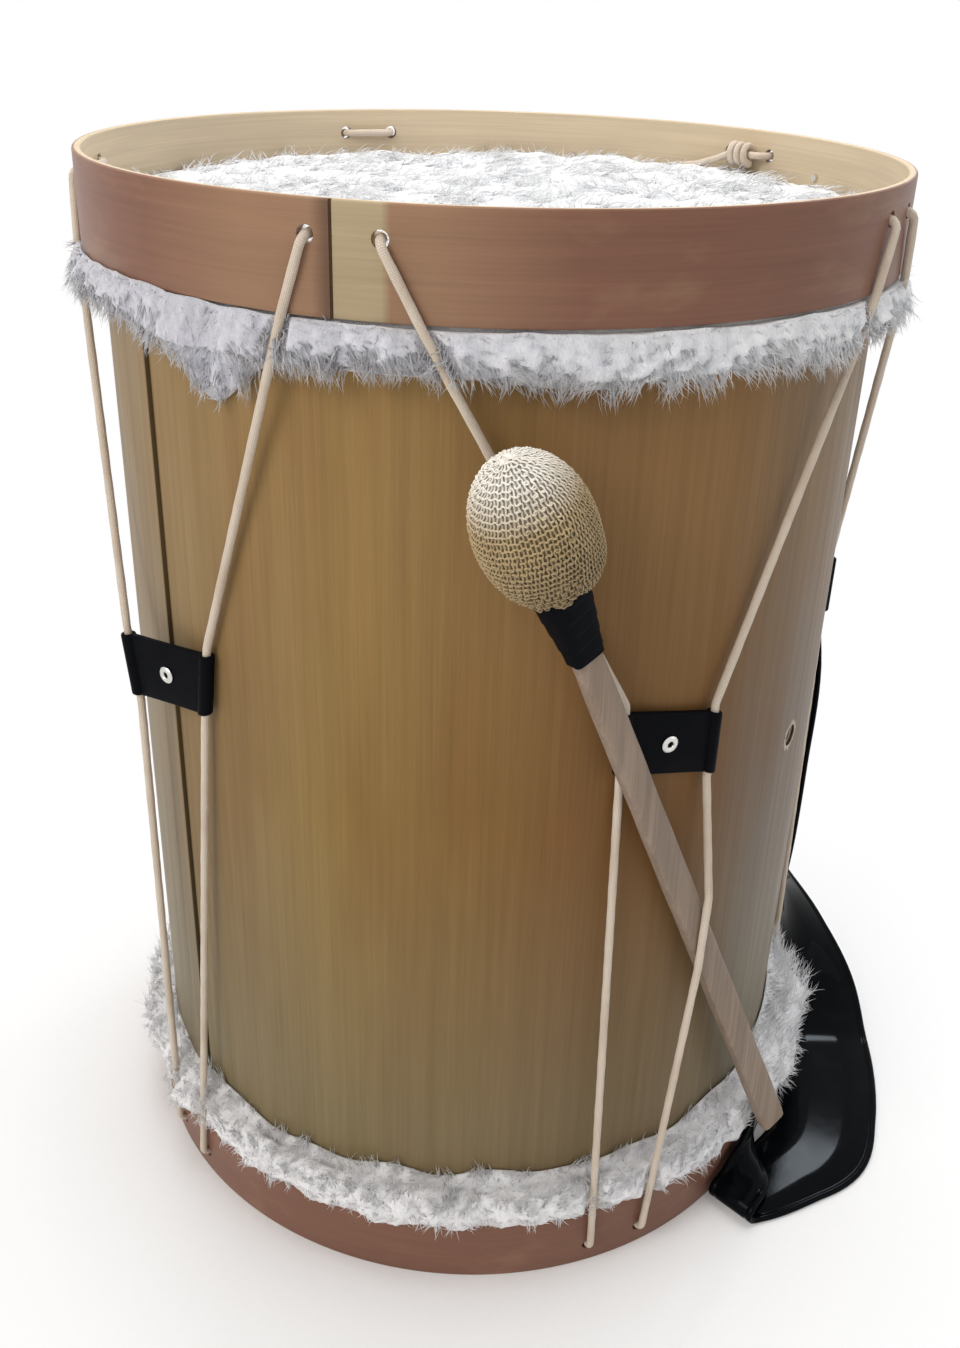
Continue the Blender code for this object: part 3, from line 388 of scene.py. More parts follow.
def veneer_finish(colours):
    """Rotary-cut plywood veneer under satin varnish: long upright grain in a cloudy, uneven stain, with
    painted shade on the right side.
    """
    veneer = Finish("stained_plywood_veneer", {"Roughness": 0.42, "Specular IOR Level": 0.12})
    height, turn, _ = veneer.round_place()
    gold, brown = colours.veneer_gold, colours.veneer_brown
    shaded_grey, lap = colours.veneer_shade_grey, colours.veneer_lap
    faded = [0.5 * (strong + weak) for strong, weak in zip(gold, lap)]
    # The grey stops from 50 to 100 degrees are painted shade on the right side.
    stops = [(-178, gold), (178, gold), (-125, brown), (-100, lap), (-53.0, lap), (-52.2, faded)]
    stops += [(-38, faded), (-18, gold), (14, brown), (34, brown), (50, shaded_grey), (100, shaded_grey), (130, brown)]
    stain = veneer.ramp(turn, [(share_of_turn(angle), shade) for angle, shade in stops])
    clouds = veneer.ranged(veneer.noise((0.045, 0.045, 0.16), 2.0), 0.42, 0.68, 0.0, 0.45)
    # The stain turns lighter towards the top and darker towards the bottom.
    lighter_to_top = veneer.ranged(height, 0.30, 0.44, 0.0, 0.3)
    darker_to_bottom = veneer.ranged(height, 0.28, 0.10, 0.0, 0.65)
    stain = veneer.washed(stain, (clouds, brown), (lighter_to_top, "#a5855a"), (darker_to_bottom, "#786f56"))
    streaks = veneer.wavering(veneer.noise((0.0045, 0.0045, 0.30)), 0.91, 1.06)
    grain = veneer.noise((0.0011, 0.0011, 0.06), 4.0)
    from_seam = veneer.apart(turn, share_of_turn(SEAM_ANGLE))
    shadow = veneer.ranged(from_seam, 0.0009, 0.0022, 0.45, 1.0)
    lines = veneer.times(veneer.times(streaks, veneer.wavering(grain, 0.93, 1.05)), shadow)
    from_vent = veneer.vector("DISTANCE", veneer.place, polar(VENT_ANGLE, SHELL_RADIUS, VENT_HEIGHT))
    ragged = veneer.computed("MULTIPLY_ADD", veneer.noise((0.002, 0.002, 0.004)), 0.006, from_vent)
    chipped = veneer.ranged(ragged, 0.0095, 0.0115, 0.75, 0.0)
    veneer.feed("Base Color", veneer.mixed(chipped, veneer.tinted(stain, lines), "#c9bca8"))
    veneer.feed("Roughness", veneer.ranged(streaks, 0.9, 1.06, 0.48, 0.38))
    veneer.bump(grain, 0.0002, 0.5)
    return veneer.material


def hoop_finish(name, colours, lap_angle, low):
    """Bent hoop of sliced wood: grain round the hoop, stained outside, bare inside and at its rims, with a
    painted highlight and a painted shadow at its lap.
    """
    hoop = Finish(name, {"Specular IOR Level": 0.14})
    height, turn, radius = hoop.round_place()
    rim = 0.0012
    inside = hoop.ranged(radius, HOOP_INNER + 0.0012, HOOP_INNER + 0.0004)
    below = hoop.ranged(height, low + rim, low + 0.5 * rim)
    above = hoop.ranged(height, low + HOOP_HEIGHT - rim, low + HOOP_HEIGHT - 0.5 * rim)
    inward = hoop.ranged(radius, HOOP_OUTER - 0.0008, HOOP_OUTER - 0.0016)
    bare = hoop.larger(inside, hoop.times(hoop.larger(below, above), inward))
    start = share_of_turn(lap_angle)
    patch_from = hoop.ranged(turn, start, start + 0.0006)
    patch_to = hoop.ranged(turn, start + 0.0155, start + 0.0185, 1.0, 0.0)
    patch = hoop.times(hoop.times(patch_from, patch_to), 0.85)
    # Random wear lightens the stain, and a painted highlight lightens it beside the lap.
    worn = hoop.ranged(hoop.noise((0.05, 0.05, 0.02), 4.0), 0.55, 0.75, 0.0, 0.35)
    highlight_by_lap = hoop.ranged(hoop.apart(turn, start), 0.03, 0.075, 0.6, 0.0)
    stain = hoop.mixed(hoop.larger(worn, highlight_by_lap), colours.hoop_stain, "#a58568")
    lap_wood = hoop.mixed(0.5, colours.bare_wood, "#8a7d52")
    wood = hoop.washed(stain, (patch, lap_wood), (bare, colours.bare_wood))
    grain = hoop.noise((0.09, 0.09, 0.0012), 4.0)
    bands = hoop.noise((0.12, 0.12, 0.008), 2.0)
    lines = hoop.times(hoop.wavering(grain, 0.93, 1.05), hoop.wavering(bands, 0.94, 1.05))
    # Painted shadow of the lap's step: the stain darkens left of the lap, most at the step itself.
    beside = hoop.ranged(turn, start - 0.0065, start - 0.0015, 1.0, 0.5)
    lap_shadow = hoop.larger(beside, hoop.ranged(turn, start - 0.0004, start + 0.0004))
    lines = hoop.times(lines, hoop.larger(lap_shadow, bare))
    hoop.feed("Base Color", hoop.tinted(wood, lines))
    hoop.feed("Roughness", hoop.ranged(bare, 0.0, 1.0, 0.38, 0.62))
    hoop.bump(grain, 0.0002, 0.5)
    return hoop.material


def raw_wood_finish(name, shade, turn=(0.0, 0.0, 0.0)):
    """Planed bare wood, with its grain along the pattern's Z axis."""
    wood = Finish(name, {"Roughness": 0.62, "Specular IOR Level": 0.22})
    grain = wood.noise((0.0011, 0.0011, 0.05), 4.0, turn)
    rings = wood.noise((0.005, 0.005, 0.25), 2.0, turn)
    lines = wood.times(wood.wavering(grain, 0.86, 1.1), wood.wavering(rings, 0.84, 1.14))
    darkened = wood.ranged(wood.noise((0.02, 0.02, 0.08), 3.0, turn), 0.45, 0.75, 0.0, 0.4)
    wood.feed("Base Color", wood.tinted(wood.mixed(darkened, shade, "#85705f"), lines))
    wood.bump(grain, 0.0002, 0.6)
    return wood.material


def wool_finish(colours):
    """Washed sheep's wool on the skin: soft matt fibres that let light through, matted in fine tufts."""
    sockets = {"Roughness": 0.95, "Sheen Weight": 0.3, "Sheen Roughness": 0.6, "Specular IOR Level": 0.05}
    sockets |= {"Subsurface Weight": 0.8, "Subsurface Radius": (1.0, 1.0, 1.0), "Subsurface Scale": 0.005}
    wool = Finish("washed_sheep_wool", sockets)
    hairs = wool.noise((0.0012, 0.0012, 0.0022), 4.0)
    tufts = wool.noise((0.006, 0.006, 0.008), 3.0)
    strands = wool.times(wool.wavering(hairs, 0.93, 1.03), wool.ranged(tufts, 0.3, 0.6, 0.92, 1.0))
    combed = wool.times(wool.attribute("shade"), strands)
    # Strands are a little darker towards their roots: painted shade near the skin.
    tip = wool.ranged(wool.attribute("along"), 0.0, 0.5)
    dirt = wool.ranged(wool.noise((0.03, 0.03, 0.02), 3.0), 0.55, 0.8, 0.0, 0.2)
    fibre = wool.washed(colours.wool_root_shade, (tip, colours.wool), (dirt, "#e6e0d6"))
    # Painted light and shade: the bottom wool is lightened against the drum's shade, the upper edge has
    # painted shade on its left and painted light on its right, and the upper face is evenly darkened
    # against the light from above
    across, _, height = wool.axes(wool.place)
    shade_and_light_across = wool.mixed(wool.ranged(across, -0.11, 0.14), "#dddce3", (1.08, 1.08, 1.08))
    on_edge, on_face = wool.ranged(height, 0.30, 0.35), wool.ranged(height, 0.528, 0.534)
    painted_light_and_shade = wool.washed((1.12, 1.10, 1.09), (on_edge, shade_and_light_across), (on_face, "#f4f4f4"))
    wool.feed("Base Color", wool.tinted(wool.tinted(fibre, combed), painted_light_and_shade))
    wool.bump(wool.computed("ADD", hairs, wool.times(tufts, 2.0)), 0.0014, 0.8)
    return wool.material


def cord_finish(colours):
    """Braided cotton cord: fine crossing strands, drawn at 1.6 mm so that they show, with a dull sheen."""
    sockets = {"Roughness": 0.72, "Sheen Weight": 0.2, "Specular IOR Level": 0.22}
    cord = Finish("braided_cotton_cord", sockets)
    around, along = cord.lay()
    left, right = (cord.wave(cord.computed(way, around, along), 0.0016) for way in ("ADD", "SUBTRACT"))
    braid = cord.ranged(cord.times(left, right), -0.6, 0.6)
    soiled = cord.ranged(cord.noise((0.012, 0.012, 0.03), 3.0), 0.45, 0.75, 0.0, 0.45)
    cotton = cord.mixed(soiled, colours.cord, "#b59c82")
    cord.feed("Base Color", cord.tinted(cotton, cord.ranged(braid, 0.0, 1.0, 0.82, 1.06)))
    cord.bump(braid, 0.0002, 0.7)
    return cord.material


def leather_finish(name, shade, roughness, pebble, depth, specular):
    """Dyed leather: a pebbled grain with fine creases, its dye a little rubbed on the high spots."""
    leather = Finish(name, {"IOR": 1.5, "Specular IOR Level": specular})
    links = {"Vector": leather.place, "Scale": 1.0 / pebble}
    cells = leather.add("ShaderNodeTexVoronoi", links, feature="SMOOTH_F1").outputs["Distance"]
    creases = leather.noise((0.006, 0.006, 0.006), 5.0)
    rubbed = leather.ranged(leather.noise((0.012, 0.012, 0.012), 4.0), 0.5, 0.8, 0.0, 0.5)
    lighter = [1.8 * part + 0.002 for part in shade]
    leather.feed("Base Color", leather.mixed(rubbed, shade, lighter))
    leather.feed("Roughness", leather.wavering(creases, 0.85 * roughness, 1.2 * roughness))
    leather.bump(leather.computed("ADD", cells, leather.times(creases, 0.6)), depth)
    return leather.material


def yarn_finish(colours):
    """Spun straw-coloured yarn: plies drawn at 0.7 mm, with painted light on the crown, and darker towards
    the neck.
    """
    yarn = Finish("spun_straw_yarn", {"Roughness": 0.85, "Sheen Weight": 0.3, "Specular IOR Level": 0.12})
    ply = yarn.ranged(yarn.wave(yarn.computed("ADD", *yarn.lay()), 0.0007), -1.0, 1.0)
    travel = yarn.vector("DOT_PRODUCT", yarn.place, SHAFT_ALONG)
    middle = HEAD_CENTRE + SHAFT_FOOT.dot(SHAFT_ALONG)
    uneven = yarn.ranged(yarn.noise((0.007, 0.007, 0.007), 3.0), 0.35, 0.7, 0.0, 0.6)
    # The crown is lightened as painted light from above; the yarn is darker towards the neck.
    lit_crown = yarn.ranged(travel, middle + 0.012, middle + 0.85 * HEAD_HALF)
    darkened = yarn.ranged(travel, middle + 0.016, middle - 0.6 * HEAD_HALF, 0.0, 0.6)
    straw = yarn.washed(colours.yarn, (uneven, "#b0986e"), (lit_crown, "#fffaf0"), (darkened, "#86704f"))
    # The lining's lower shade value is painted shade in the gaps between the loops.
    shaded = yarn.times(yarn.attribute("shade"), yarn.ranged(ply, 0.0, 1.0, 0.84, 1.06))
    yarn.feed("Base Color", yarn.tinted(straw, shaded))
    yarn.bump(ply, 0.00012, 0.6)
    return yarn.material


def tape_finish(colours):
    """Cloth tape: a fine plain weave, drawn at 0.9 mm so that it shows, under a dull black coating."""
    tape = Finish("black_cloth_tape", {"Roughness": 0.6, "Specular IOR Level": 0.03})
    warp, weft = (tape.wave(way, 0.0009) for way in tape.lay())
    weave = tape.ranged(tape.times(warp, weft), -1.0, 1.0)
    raised = tape.ranged(weave, 0.0, 1.0, 0.0, 0.6)
    tape.feed("Base Color", tape.mixed(raised, colours.tape, "#111318"))
    tape.bump(weave, 0.0001, 0.5)
    return tape.material


def nickel_finish(colours):
    """Nickel-plated brass, drawn and tumbled: bright, with fine scratches and a few dull spots."""
    nickel = Finish("nickel_plated_brass", {"Metallic": 1.0})
    spots = nickel.noise((0.0015, 0.0015, 0.0015), 4.0)
    dull = nickel.ranged(spots, 0.5, 0.8, 0.0, 0.5)
    nickel.feed("Base Color", nickel.mixed(dull, colours.nickel, "#a39c8f"))
    nickel.feed("Roughness", nickel.wavering(spots, 0.2, 0.36))
    return nickel.material


def floor_finish(colours):
    """Matt white paper with a faint tooth, which goes over into the plain white surroundings far away."""
    floor = Finish("matt_white_paper", {"Roughness": 0.9, "Specular IOR Level": 0.05})
    tooth = floor.wavering(floor.noise((0.004, 0.004, 0.004), 2.0), 0.0, 1.0)
    paler = [min(1.0, 1.02 * part) for part in colours.floor]
    floor.feed("Base Color", floor.mixed(tooth, colours.floor, paler))
    away = floor.ranged(floor.vector("LENGTH", floor.place), 0.20, 0.44)
    share = floor.times(away, floor.seen_or_mirrored())
    glow = floor.add("ShaderNodeEmission", {"Color": (1.0, 1.0, 1.0, 1.0), "Strength": 1.0})
    links = {0: share, 1: floor.shader.outputs[0], 2: glow.outputs[0]}
    both = floor.add("ShaderNodeMixShader", links).outputs[0]
    floor.tree.links.new(both, floor.tree.nodes["Material Output"].inputs["Surface"])
    return floor.material


# Modelling


def select_only(piece):
    """Make one piece the selected and active one."""
    bpy.ops.object.select_all(action="DESELECT")
    piece.select_set(True)
    bpy.context.view_layer.objects.active = piece


def new_piece(name, mesh):
    """Object in the scene that shows a mesh."""
    piece = bpy.data.objects.new(name, mesh)
    bpy.context.scene.collection.objects.link(piece)
    return piece


def apply_modifier(piece, name, kind, **settings):
    """Finish a piece with a modifier and apply it."""
    select_only(piece)
    modifier = piece.modifiers.new(name, kind)
    for key, value in settings.items():
        setattr(modifier, key, value)
    bpy.ops.object.modifier_apply(modifier=modifier.name)


def smooth(piece, degrees=35):
    """Shade a piece smooth between faces that meet at less than an angle."""
    select_only(piece)
    bpy.ops.object.shade_smooth_by_angle(angle=math.radians(degrees))


def face_outward(piece):
    """Turn the faces of a closed piece outward."""
    select_only(piece)
    bpy.ops.object.mode_set(mode="EDIT")
    bpy.ops.mesh.select_all(action="SELECT")
    bpy.ops.mesh.normals_make_consistent(inside=False)
    bpy.ops.object.mode_set(mode="OBJECT")


def spun(name, outline, steps=ROUND_STEPS):
    """Closed outline of (radius, height) points spun round Z."""
    mesh = bpy.data.meshes.new(name)
    count = len(outline)
    mesh.from_pydata([(r, 0.0, z) for r, z in outline], [(i, (i + 1) % count) for i in range(count)], [])
    piece = new_piece(name, mesh)
    select_only(piece)
    bpy.ops.object.mode_set(mode="EDIT")
    bpy.ops.mesh.select_all(action="SELECT")
    bpy.ops.mesh.spin(steps=steps, angle=2 * math.pi, center=(0.0, 0.0, 0.0), axis=(0.0, 0.0, 1.0))
    bpy.ops.mesh.select_all(action="SELECT")
    bpy.ops.mesh.remove_doubles(threshold=1e-6)
    bpy.ops.mesh.normals_make_consistent(inside=False)
    bpy.ops.object.mode_set(mode="OBJECT")
    return piece


def radial_rod(name, angle, height, near, far, diameter, far_diameter=None):
    """Round rod, or a cone, from one radius to another, for cutting holes."""
    bpy.ops.mesh.primitive_cone_add(
        vertices=SMALL_ROUND_STEPS,
        radius1=diameter / 2,
        radius2=(far_diameter or diameter) / 2,
        depth=far - near,
        location=polar(angle, (near + far) / 2, height),
        rotation=(math.radians(90), 0.0, math.radians(angle)),
    )
    rod = bpy.context.object
    rod.name = name
    return rod


def radial_bar(name, angle, radius, low, high, width, depth):
    """Upright bar that cuts a groove into a round wall."""
    bpy.ops.mesh.primitive_cube_add(
        size=1.0,
        location=polar(angle, radius, (low + high) / 2),
        rotation=(0.0, 0.0, math.radians(angle)),
        scale=(width, 2 * depth, 1.2 * (high - low)),
    )
    bar = bpy.context.object
    bar.name = name
    return bar


def cut_out(piece, cutters):
    """Take the cutters' shapes out of a piece and delete them."""
    for cutter in cutters:
        apply_modifier(piece, "cut", "BOOLEAN", operation="DIFFERENCE", object=cutter, solver="EXACT")
        bpy.data.objects.remove(cutter)


def vertex_array(mesh):
    """Places of a mesh's points as rows."""
    flat = np.empty(3 * len(mesh.vertices))
    mesh.vertices.foreach_get("co", flat)
    return flat.reshape(-1, 3)


def set_vertices(mesh, places):
    """Move a mesh's points to new places."""
    mesh.vertices.foreach_set("co", np.ascontiguousarray(places, float).ravel())
    mesh.update()


def raise_lap(piece, lap_angle, span, lift, near_radius):
    """Raise the outside of a bent wall left of its lap, fading out over a span of degrees."""
    places = vertex_array(piece.data)
    radius = radius_of(places)
    behind = (lap_angle - angle_of(places) + 360) % 360
    share = np.where(behind < span, 1 - behind / span, 0.0) * (radius > near_radius)
    set_vertices(piece.data, pushed_radius(places, radius, radius + lift * share))


def pushed_radius(places, radius, wanted):
    """Places moved in or out to a wanted radius."""
    grown = wanted / np.maximum(radius, 1e-9)
    return places * np.stack([grown, grown, np.ones(len(places))], axis=1)


def lofted(name, rings, lay=None, closed_path=False):
    """Skin over rings of equally many points, with flat ends.

    lay gives the metres round a ring and those along to each ring, which are written as a UV map.
    """
    count = len(rings[0])
    points = [tuple(point) for ring in rings for point in ring]
    faces = []
    spans = len(rings) if closed_path else len(rings) - 1
    for k in range(spans):
        a = k * count
        b = (k + 1) % len(rings) * count
        faces += [(a + i, a + (i + 1) % count, b + (i + 1) % count, b + i) for i in range(count)]
    if not closed_path:
        faces.append(tuple(range(count))[::-1])
        faces.append(tuple(range((len(rings) - 1) * count, len(rings) * count)))
    mesh = bpy.data.meshes.new(name)
    mesh.from_pydata(points, [], faces)
    if lay is not None:
        uv = mesh.uv_layers.new(name="lay")
        places = np.zeros((len(mesh.loops), 2))
        around, along = lay
        loop = 0
        for k in range(spans):
            for i in range(count):
                for ring, corner in ((k, i), (k, i + 1), (k + 1, i + 1), (k + 1, i)):
                    places[loop] = (around * corner / count, along[ring])
                    loop += 1
        uv.data.foreach_set("uv", places.ravel())
    return new_piece(name, mesh)


def join_pieces(name, pieces):
    """One piece made of several."""
    bpy.ops.object.select_all(action="DESELECT")
    for piece in pieces:
        piece.select_set(True)
    bpy.context.view_layer.objects.active = pieces[0]
    bpy.ops.object.join()
    whole = bpy.context.object
    whole.name = name
    whole.data.name = name
    return whole


def paint(piece, material):
    """Give a piece its one material."""
    piece.data.materials.clear()
    piece.data.materials.append(material)


def dress(piece, material, node, body=None):
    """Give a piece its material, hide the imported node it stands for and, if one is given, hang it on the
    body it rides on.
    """
    paint(piece, material)
    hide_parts(node)
    if body:
        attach(piece, body)


# Wool


LUMP_WAVES = 7


def lumps(places, length, seed):
    """Smooth unevenness from -1 to 1, with humps of about a length."""
    rng = np.random.default_rng(seed)
    total = np.zeros(len(places))
    for _ in range(LUMP_WAVES):
        direction = rng.normal(size=3)
        direction /= np.linalg.norm(direction)
        waves = places @ direction * 2 * math.pi / (length * rng.uniform(0.7, 1.6))
        total += np.sin(waves + rng.uniform(0, 6.28))
    return total / 4.0


def hump(turn, centre, width):
    """1 at one angle round the drum, falling off to both sides."""
    return np.exp(-(((turn - centre) / width) ** 2))


STRAND_TAPER, STRAND_TIP, STRAND_SIDES = (1.0, 0.8, 0.5), 0.2, 3
Fibres = namedtuple("Fibres", "points girth length along shade")


def fibres(rng, roots, heading, length, thickness, pull, keep_clear, wander):
    """Tapered strands that start in a heading and are pulled along.

    keep_clear moves their points, with the room each one needs round it, off what they must not touch.
    """
    count, rings, sides = len(roots), len(STRAND_TAPER), STRAND_SIDES
    line = np.empty((count, rings + 1, 3))
    line[:, 0] = roots
    way = unit(heading)
    widths = [*STRAND_TAPER, STRAND_TIP]
    for k in range(rings):
        way = unit(way + pull + rng.normal(scale=wander, size=(count, 3)))
        ahead = line[:, k] + way * (length / rings)[:, None]
        line[:, k + 1] = keep_clear(ahead, thickness * widths[k + 1] / 2)
        way = unit(line[:, k + 1] - line[:, k])
    lean = rng.normal(size=(count, 3))
    points = np.empty((count, rings * sides + 1, 3))
    for k, width in enumerate(STRAND_TAPER):
        ahead = unit(line[:, k + 1] - line[:, max(k - 1, 0)])
        side = unit(np.cross(ahead, lean))
        other = np.cross(ahead, side)
        for j in range(sides):
            turn = 2 * math.pi * j / sides
            spoke = side * math.cos(turn) + other * math.sin(turn)
            points[:, k * sides + j] = line[:, k] + spoke * (thickness * width / 2)[:, None]
    points[:, -1] = line[:, -1]
    along = np.tile(np.append(np.repeat(np.arange(rings) / rings, sides), 1.0), count)
    shade = np.repeat(rng.uniform(0.92, 1.0, count), rings * sides + 1)
    return Fibres(points, math.pi * thickness, length, along, shade)


def fibre_piece(name, made):
    """Piece of strands, with the place on each as a UV map in metres."""
    count, per = made.points.shape[:2]
    rings, sides = len(STRAND_TAPER), STRAND_SIDES
    faces, lay = [], []
    for k in range(rings - 1):
        for j in range(sides):
            corners = ((k, j), (k, j + 1), (k + 1, j + 1), (k + 1, j))
            faces.append([ring * sides + spot % sides for ring, spot in corners])
            lay += [(spot / sides, ring / rings) for ring, spot in corners]
    for j in range(sides):
        last = (rings - 1) * sides
        faces.append([last + j, last + (j + 1) % sides, per - 1])
        lay += [(j / sides, 1 - 1 / rings), ((j + 1) / sides, 1 - 1 / rings), ((j + 0.5) / sides, 1.0)]
    faces.append(list(range(sides))[::-1])
    lay += [(0.0, 0.0)] * sides
    loops = np.concatenate(faces)
    starts = np.cumsum([0] + [len(face) for face in faces[:-1]])
    mesh = bpy.data.meshes.new(name)
    mesh.vertices.add(count * per)
    set_vertices(mesh, made.points)
    mesh.loops.add(count * len(loops))
    mesh.polygons.add(count * len(faces))
    each = np.arange(count)[:, None]
    mesh.loops.foreach_set("vertex_index", (loops[None, :] + per * each).ravel().astype(np.int32))
    starts = starts[None, :] + len(loops) * each
    mesh.polygons.foreach_set("loop_start", starts.ravel().astype(np.int32))
    spread = np.array(lay)[None, :, :] * np.stack([made.girth, made.length], axis=1)[:, None, :]
    spread[:, :, 0] += 0.017 * each
    mesh.uv_layers.new(name="lay").data.foreach_set("uv", spread.ravel())
    mesh.update(calc_edges=True)
    add_fibre_attributes(mesh, made.along, made.shade)
    mesh.shade_smooth()
    return new_piece(name, mesh)


def add_values(mesh, name, values):
    """Write a value for each point, for the finish to read."""
    mesh.attributes.new(name, "FLOAT", "POINT").data.foreach_set("value", values.astype(np.float32))


def add_fibre_attributes(mesh, along, shade):
    """Write what the wool's finish reads for each point."""
    add_values(mesh, "along", along)
    add_values(mesh, "shade", shade)


def nearest_of(points, places):
    """For each place the nearest of some points."""
    tree = kdtree.KDTree(len(points))
    for i, point in enumerate(points):
        tree.insert(point, i)
    tree.balance()
    return np.array([tuple(tree.find(place)[0]) for place in places])


class Neighbours:
    """What parts the wool or presses it flat: the cords, the mallet's stick and the strap."""

    def __init__(self, cord_points):
        self.cord_points = cord_points

    def parted(self, places, room):
        """Places moved aside from the cords that run over them."""
        spots = nearest_of(self.cord_points, places)
        out, level = outward_of(spots)
        apart = places - spots
        aside = np.sum(apart * level, axis=1)
        need = CORD_RADIUS + CORD_ROOM + room
        over = np.sum(apart * out, axis=1) > -need
        near = over & (np.abs(aside) < need) & (np.linalg.norm(apart, axis=1) < 0.03)
        shift = np.where(near, np.where(aside < 0, -need, need) - aside, 0.0)
        return places + level * shift[:, None]

    def under_cords(self, places):
        """Largest radius that matted wool may have where the cords press it in."""
        spots = nearest_of(self.cord_points, places)
        apart = places - spots
        aside = np.sum(apart * outward_of(spots)[1], axis=1)
        ease = 1.5 * np.maximum(np.hypot(aside, apart[:, 2]) - CORD_RADIUS - 0.0012, 0.0)
        return radius_of(spots) - CORD_RADIUS - 0.0004 + ease

    def largest_radius(self, places, room):
        """Largest radius that each place may have under the stick and the strap."""
        angle = angle_of(places)
        foot, along = np.array(SHAFT_FOOT), np.array(SHAFT_ALONG)
        travel = np.clip((places - foot) @ along, -0.002, 0.4)
        on_stick = foot + travel[:, None] * along
        turn = (angle - angle_of(on_stick) + 180) % 360 - 180
        near = np.abs(np.radians(turn)) * radius_of(places) < SHAFT_WIDE / 2 + 0.001 + room
        near &= np.abs(places[:, 2] - on_stick[:, 2]) < 0.006 + room
        under_stick = radius_of(on_stick) - SHAFT_THICKNESS / 2 - 0.0012 - room
        most = np.where(near, under_stick, 1.0)
        # The strap hangs close to the drum under its upper stud and again where it comes down to the floor
        high = (np.abs(angle - STRAP_UPPER_ANGLE) < 7) & (places[:, 2] > 0.45)
        low = (angle > 93) & (angle < 126) & (places[:, 2] < 0.16)
        under_strap = np.where(high, 0.2042, np.where(low, 0.2060, 1.0)) - room
        return np.minimum(most, under_strap)


# Lacing


def tab_half_width(station, height):
    """Half the distance between a tab's cords, at a height from its middle."""
    return TAB_CORDS_APART / 2 + station.flare * height / TAB_HEIGHT


def tab_matrix(station):
    """Place of a tab: its own -Y faces away from the drum, X runs across the cords, Z up."""
    half = tab_half_width(station, TAB_HEIGHT / 2)
    swing = math.radians(station.turn)
    plane = math.sqrt(TAB_CORD_RADIUS**2 - half**2) + half * math.sin(abs(swing))
    return (
        Matrix.Translation(polar(station.tab, plane, station.height))
        @ Matrix.Rotation(math.radians(station.tab) + swing, 4, "Z")
    )


def tab_point(station, x, y, height):
    """A place in a tab's own frame: the leather is skewed along its upright cords."""
    return Vector((x, y, height + x * math.tan(math.radians(station.skew))))


def bent_route(corners, bend_radius, step=12.0):
    """Points along straight runs between corners, with each corner bent to an arc."""
    points = [corners[0]]
    for before, corner, after in zip(corners, corners[1:], corners[2:]):
        back = before - corner
        ahead = after - corner
        turn = math.pi - back.angle(ahead)
        if turn < math.radians(1):
            continue
        trim = min(bend_radius * math.tan(turn / 2), 0.45 * back.length, 0.45 * ahead.length)
        radius = trim / math.tan(turn / 2)
        bisector = (back.normalized() + ahead.normalized()).normalized()
        centre = corner + bisector * radius / math.cos(turn / 2)
        spoke = corner + back.normalized() * trim - centre
        axis = ahead.cross(back)
        steps = max(1, math.ceil(math.degrees(turn) / step))
        points += [centre + Matrix.Rotation(turn * i / steps, 3, axis) @ spoke for i in range(steps + 1)]
    points.append(corners[-1])
    return points


def over_shaft(before, after):
    """Two corners that lift a cord over the mallet's stick where it crosses it."""
    travel = (after - before).normalized()
    travel = (travel - SHAFT_OUTWARD * travel.dot(SHAFT_OUTWARD)).normalized()
    reach = (SHAFT_WIDE / 2 + CORD_RADIUS) / math.sin(travel.angle(SHAFT_ALONG))
    distance = (SHAFT_OVER_CORD_HEIGHT - SHAFT_FOOT.z) / SHAFT_ALONG.z
    lift = SHAFT_THICKNESS / 2 + CORD_RADIUS + CORD_ROOM
    centre = SHAFT_FOOT + SHAFT_ALONG * distance + SHAFT_OUTWARD * lift
    return [centre - travel * reach, centre + travel * reach]


def over_edges(hole, far):
    """Corners where a cord on its way from a hole to a far point bears on its hoop's edge and the roll."""
    top = hole.z > DRUM_HEIGHT / 2
    corners = []
    start = hole
    for inset, least in ((HOOP_HEIGHT, CORD_ON_HOOP_EDGE), (DRUM_HEIGHT - ROLL_BOTTOM, CORD_ON_ROLL)):
        height = DRUM_HEIGHT - inset if top else inset
        spot = start.lerp(far, (height - start.z) / (far.z - start.z))
        flat = Vector((spot.x, spot.y, 0.0))
        if flat.length < least:
            start = flat.normalized() * least + Vector((0.0, 0.0, height))
            corners.append(start)
    return corners


def leg_corners(station, side, top_angle, bottom_angle, bridge_top, bridge_bottom):
    """Corners of one leg: from the middle of its top bridge, through the tab, to its bottom bridge.

    Gives the corners above the tab's middle and those below it.
    """
    lead = TAB_HEIGHT / 2 + 2 * CORD_RADIUS
    place = tab_matrix(station)
    into, middle, out = (
        place @ tab_point(station, side * tab_half_width(station, z), 0.0, z) for z in (lead, 0.0, -lead)
    )
    top_z, bottom_z = DRUM_HEIGHT - HOLE_INSET, HOLE_INSET
    top_hole = polar(top_angle, CORD_OUTER, top_z)
    bottom_hole = polar(bottom_angle, CORD_OUTER, bottom_z)
    crossing = over_shaft(out, bottom_hole) if station is STATIONS[0] and side == 1 else []
    upper = [
        polar(bridge_top, CORD_INNER, top_z),
        polar(top_angle, CORD_INNER, top_z),
        top_hole,
        *over_edges(top_hole, into),
        into,
        middle,
    ]
    lower = [
        middle,
        out,
        *crossing,
        *over_edges(bottom_hole, crossing[-1] if crossing else out)[::-1],
        bottom_hole,
        polar(bottom_angle, CORD_INNER, bottom_z),
        polar(bridge_bottom, CORD_INNER, bottom_z),
    ]
    return upper, lower


def evenly(points, step):
    """Points at even steps along a line."""
    line = np.array([tuple(point) for point in points])
    along = travelled(line)
    wanted = np.linspace(0.0, along[-1], max(2, int(round(along[-1] / step)) + 1))
    return np.stack([np.interp(wanted, along, line[:, k]) for k in range(3)], axis=1)


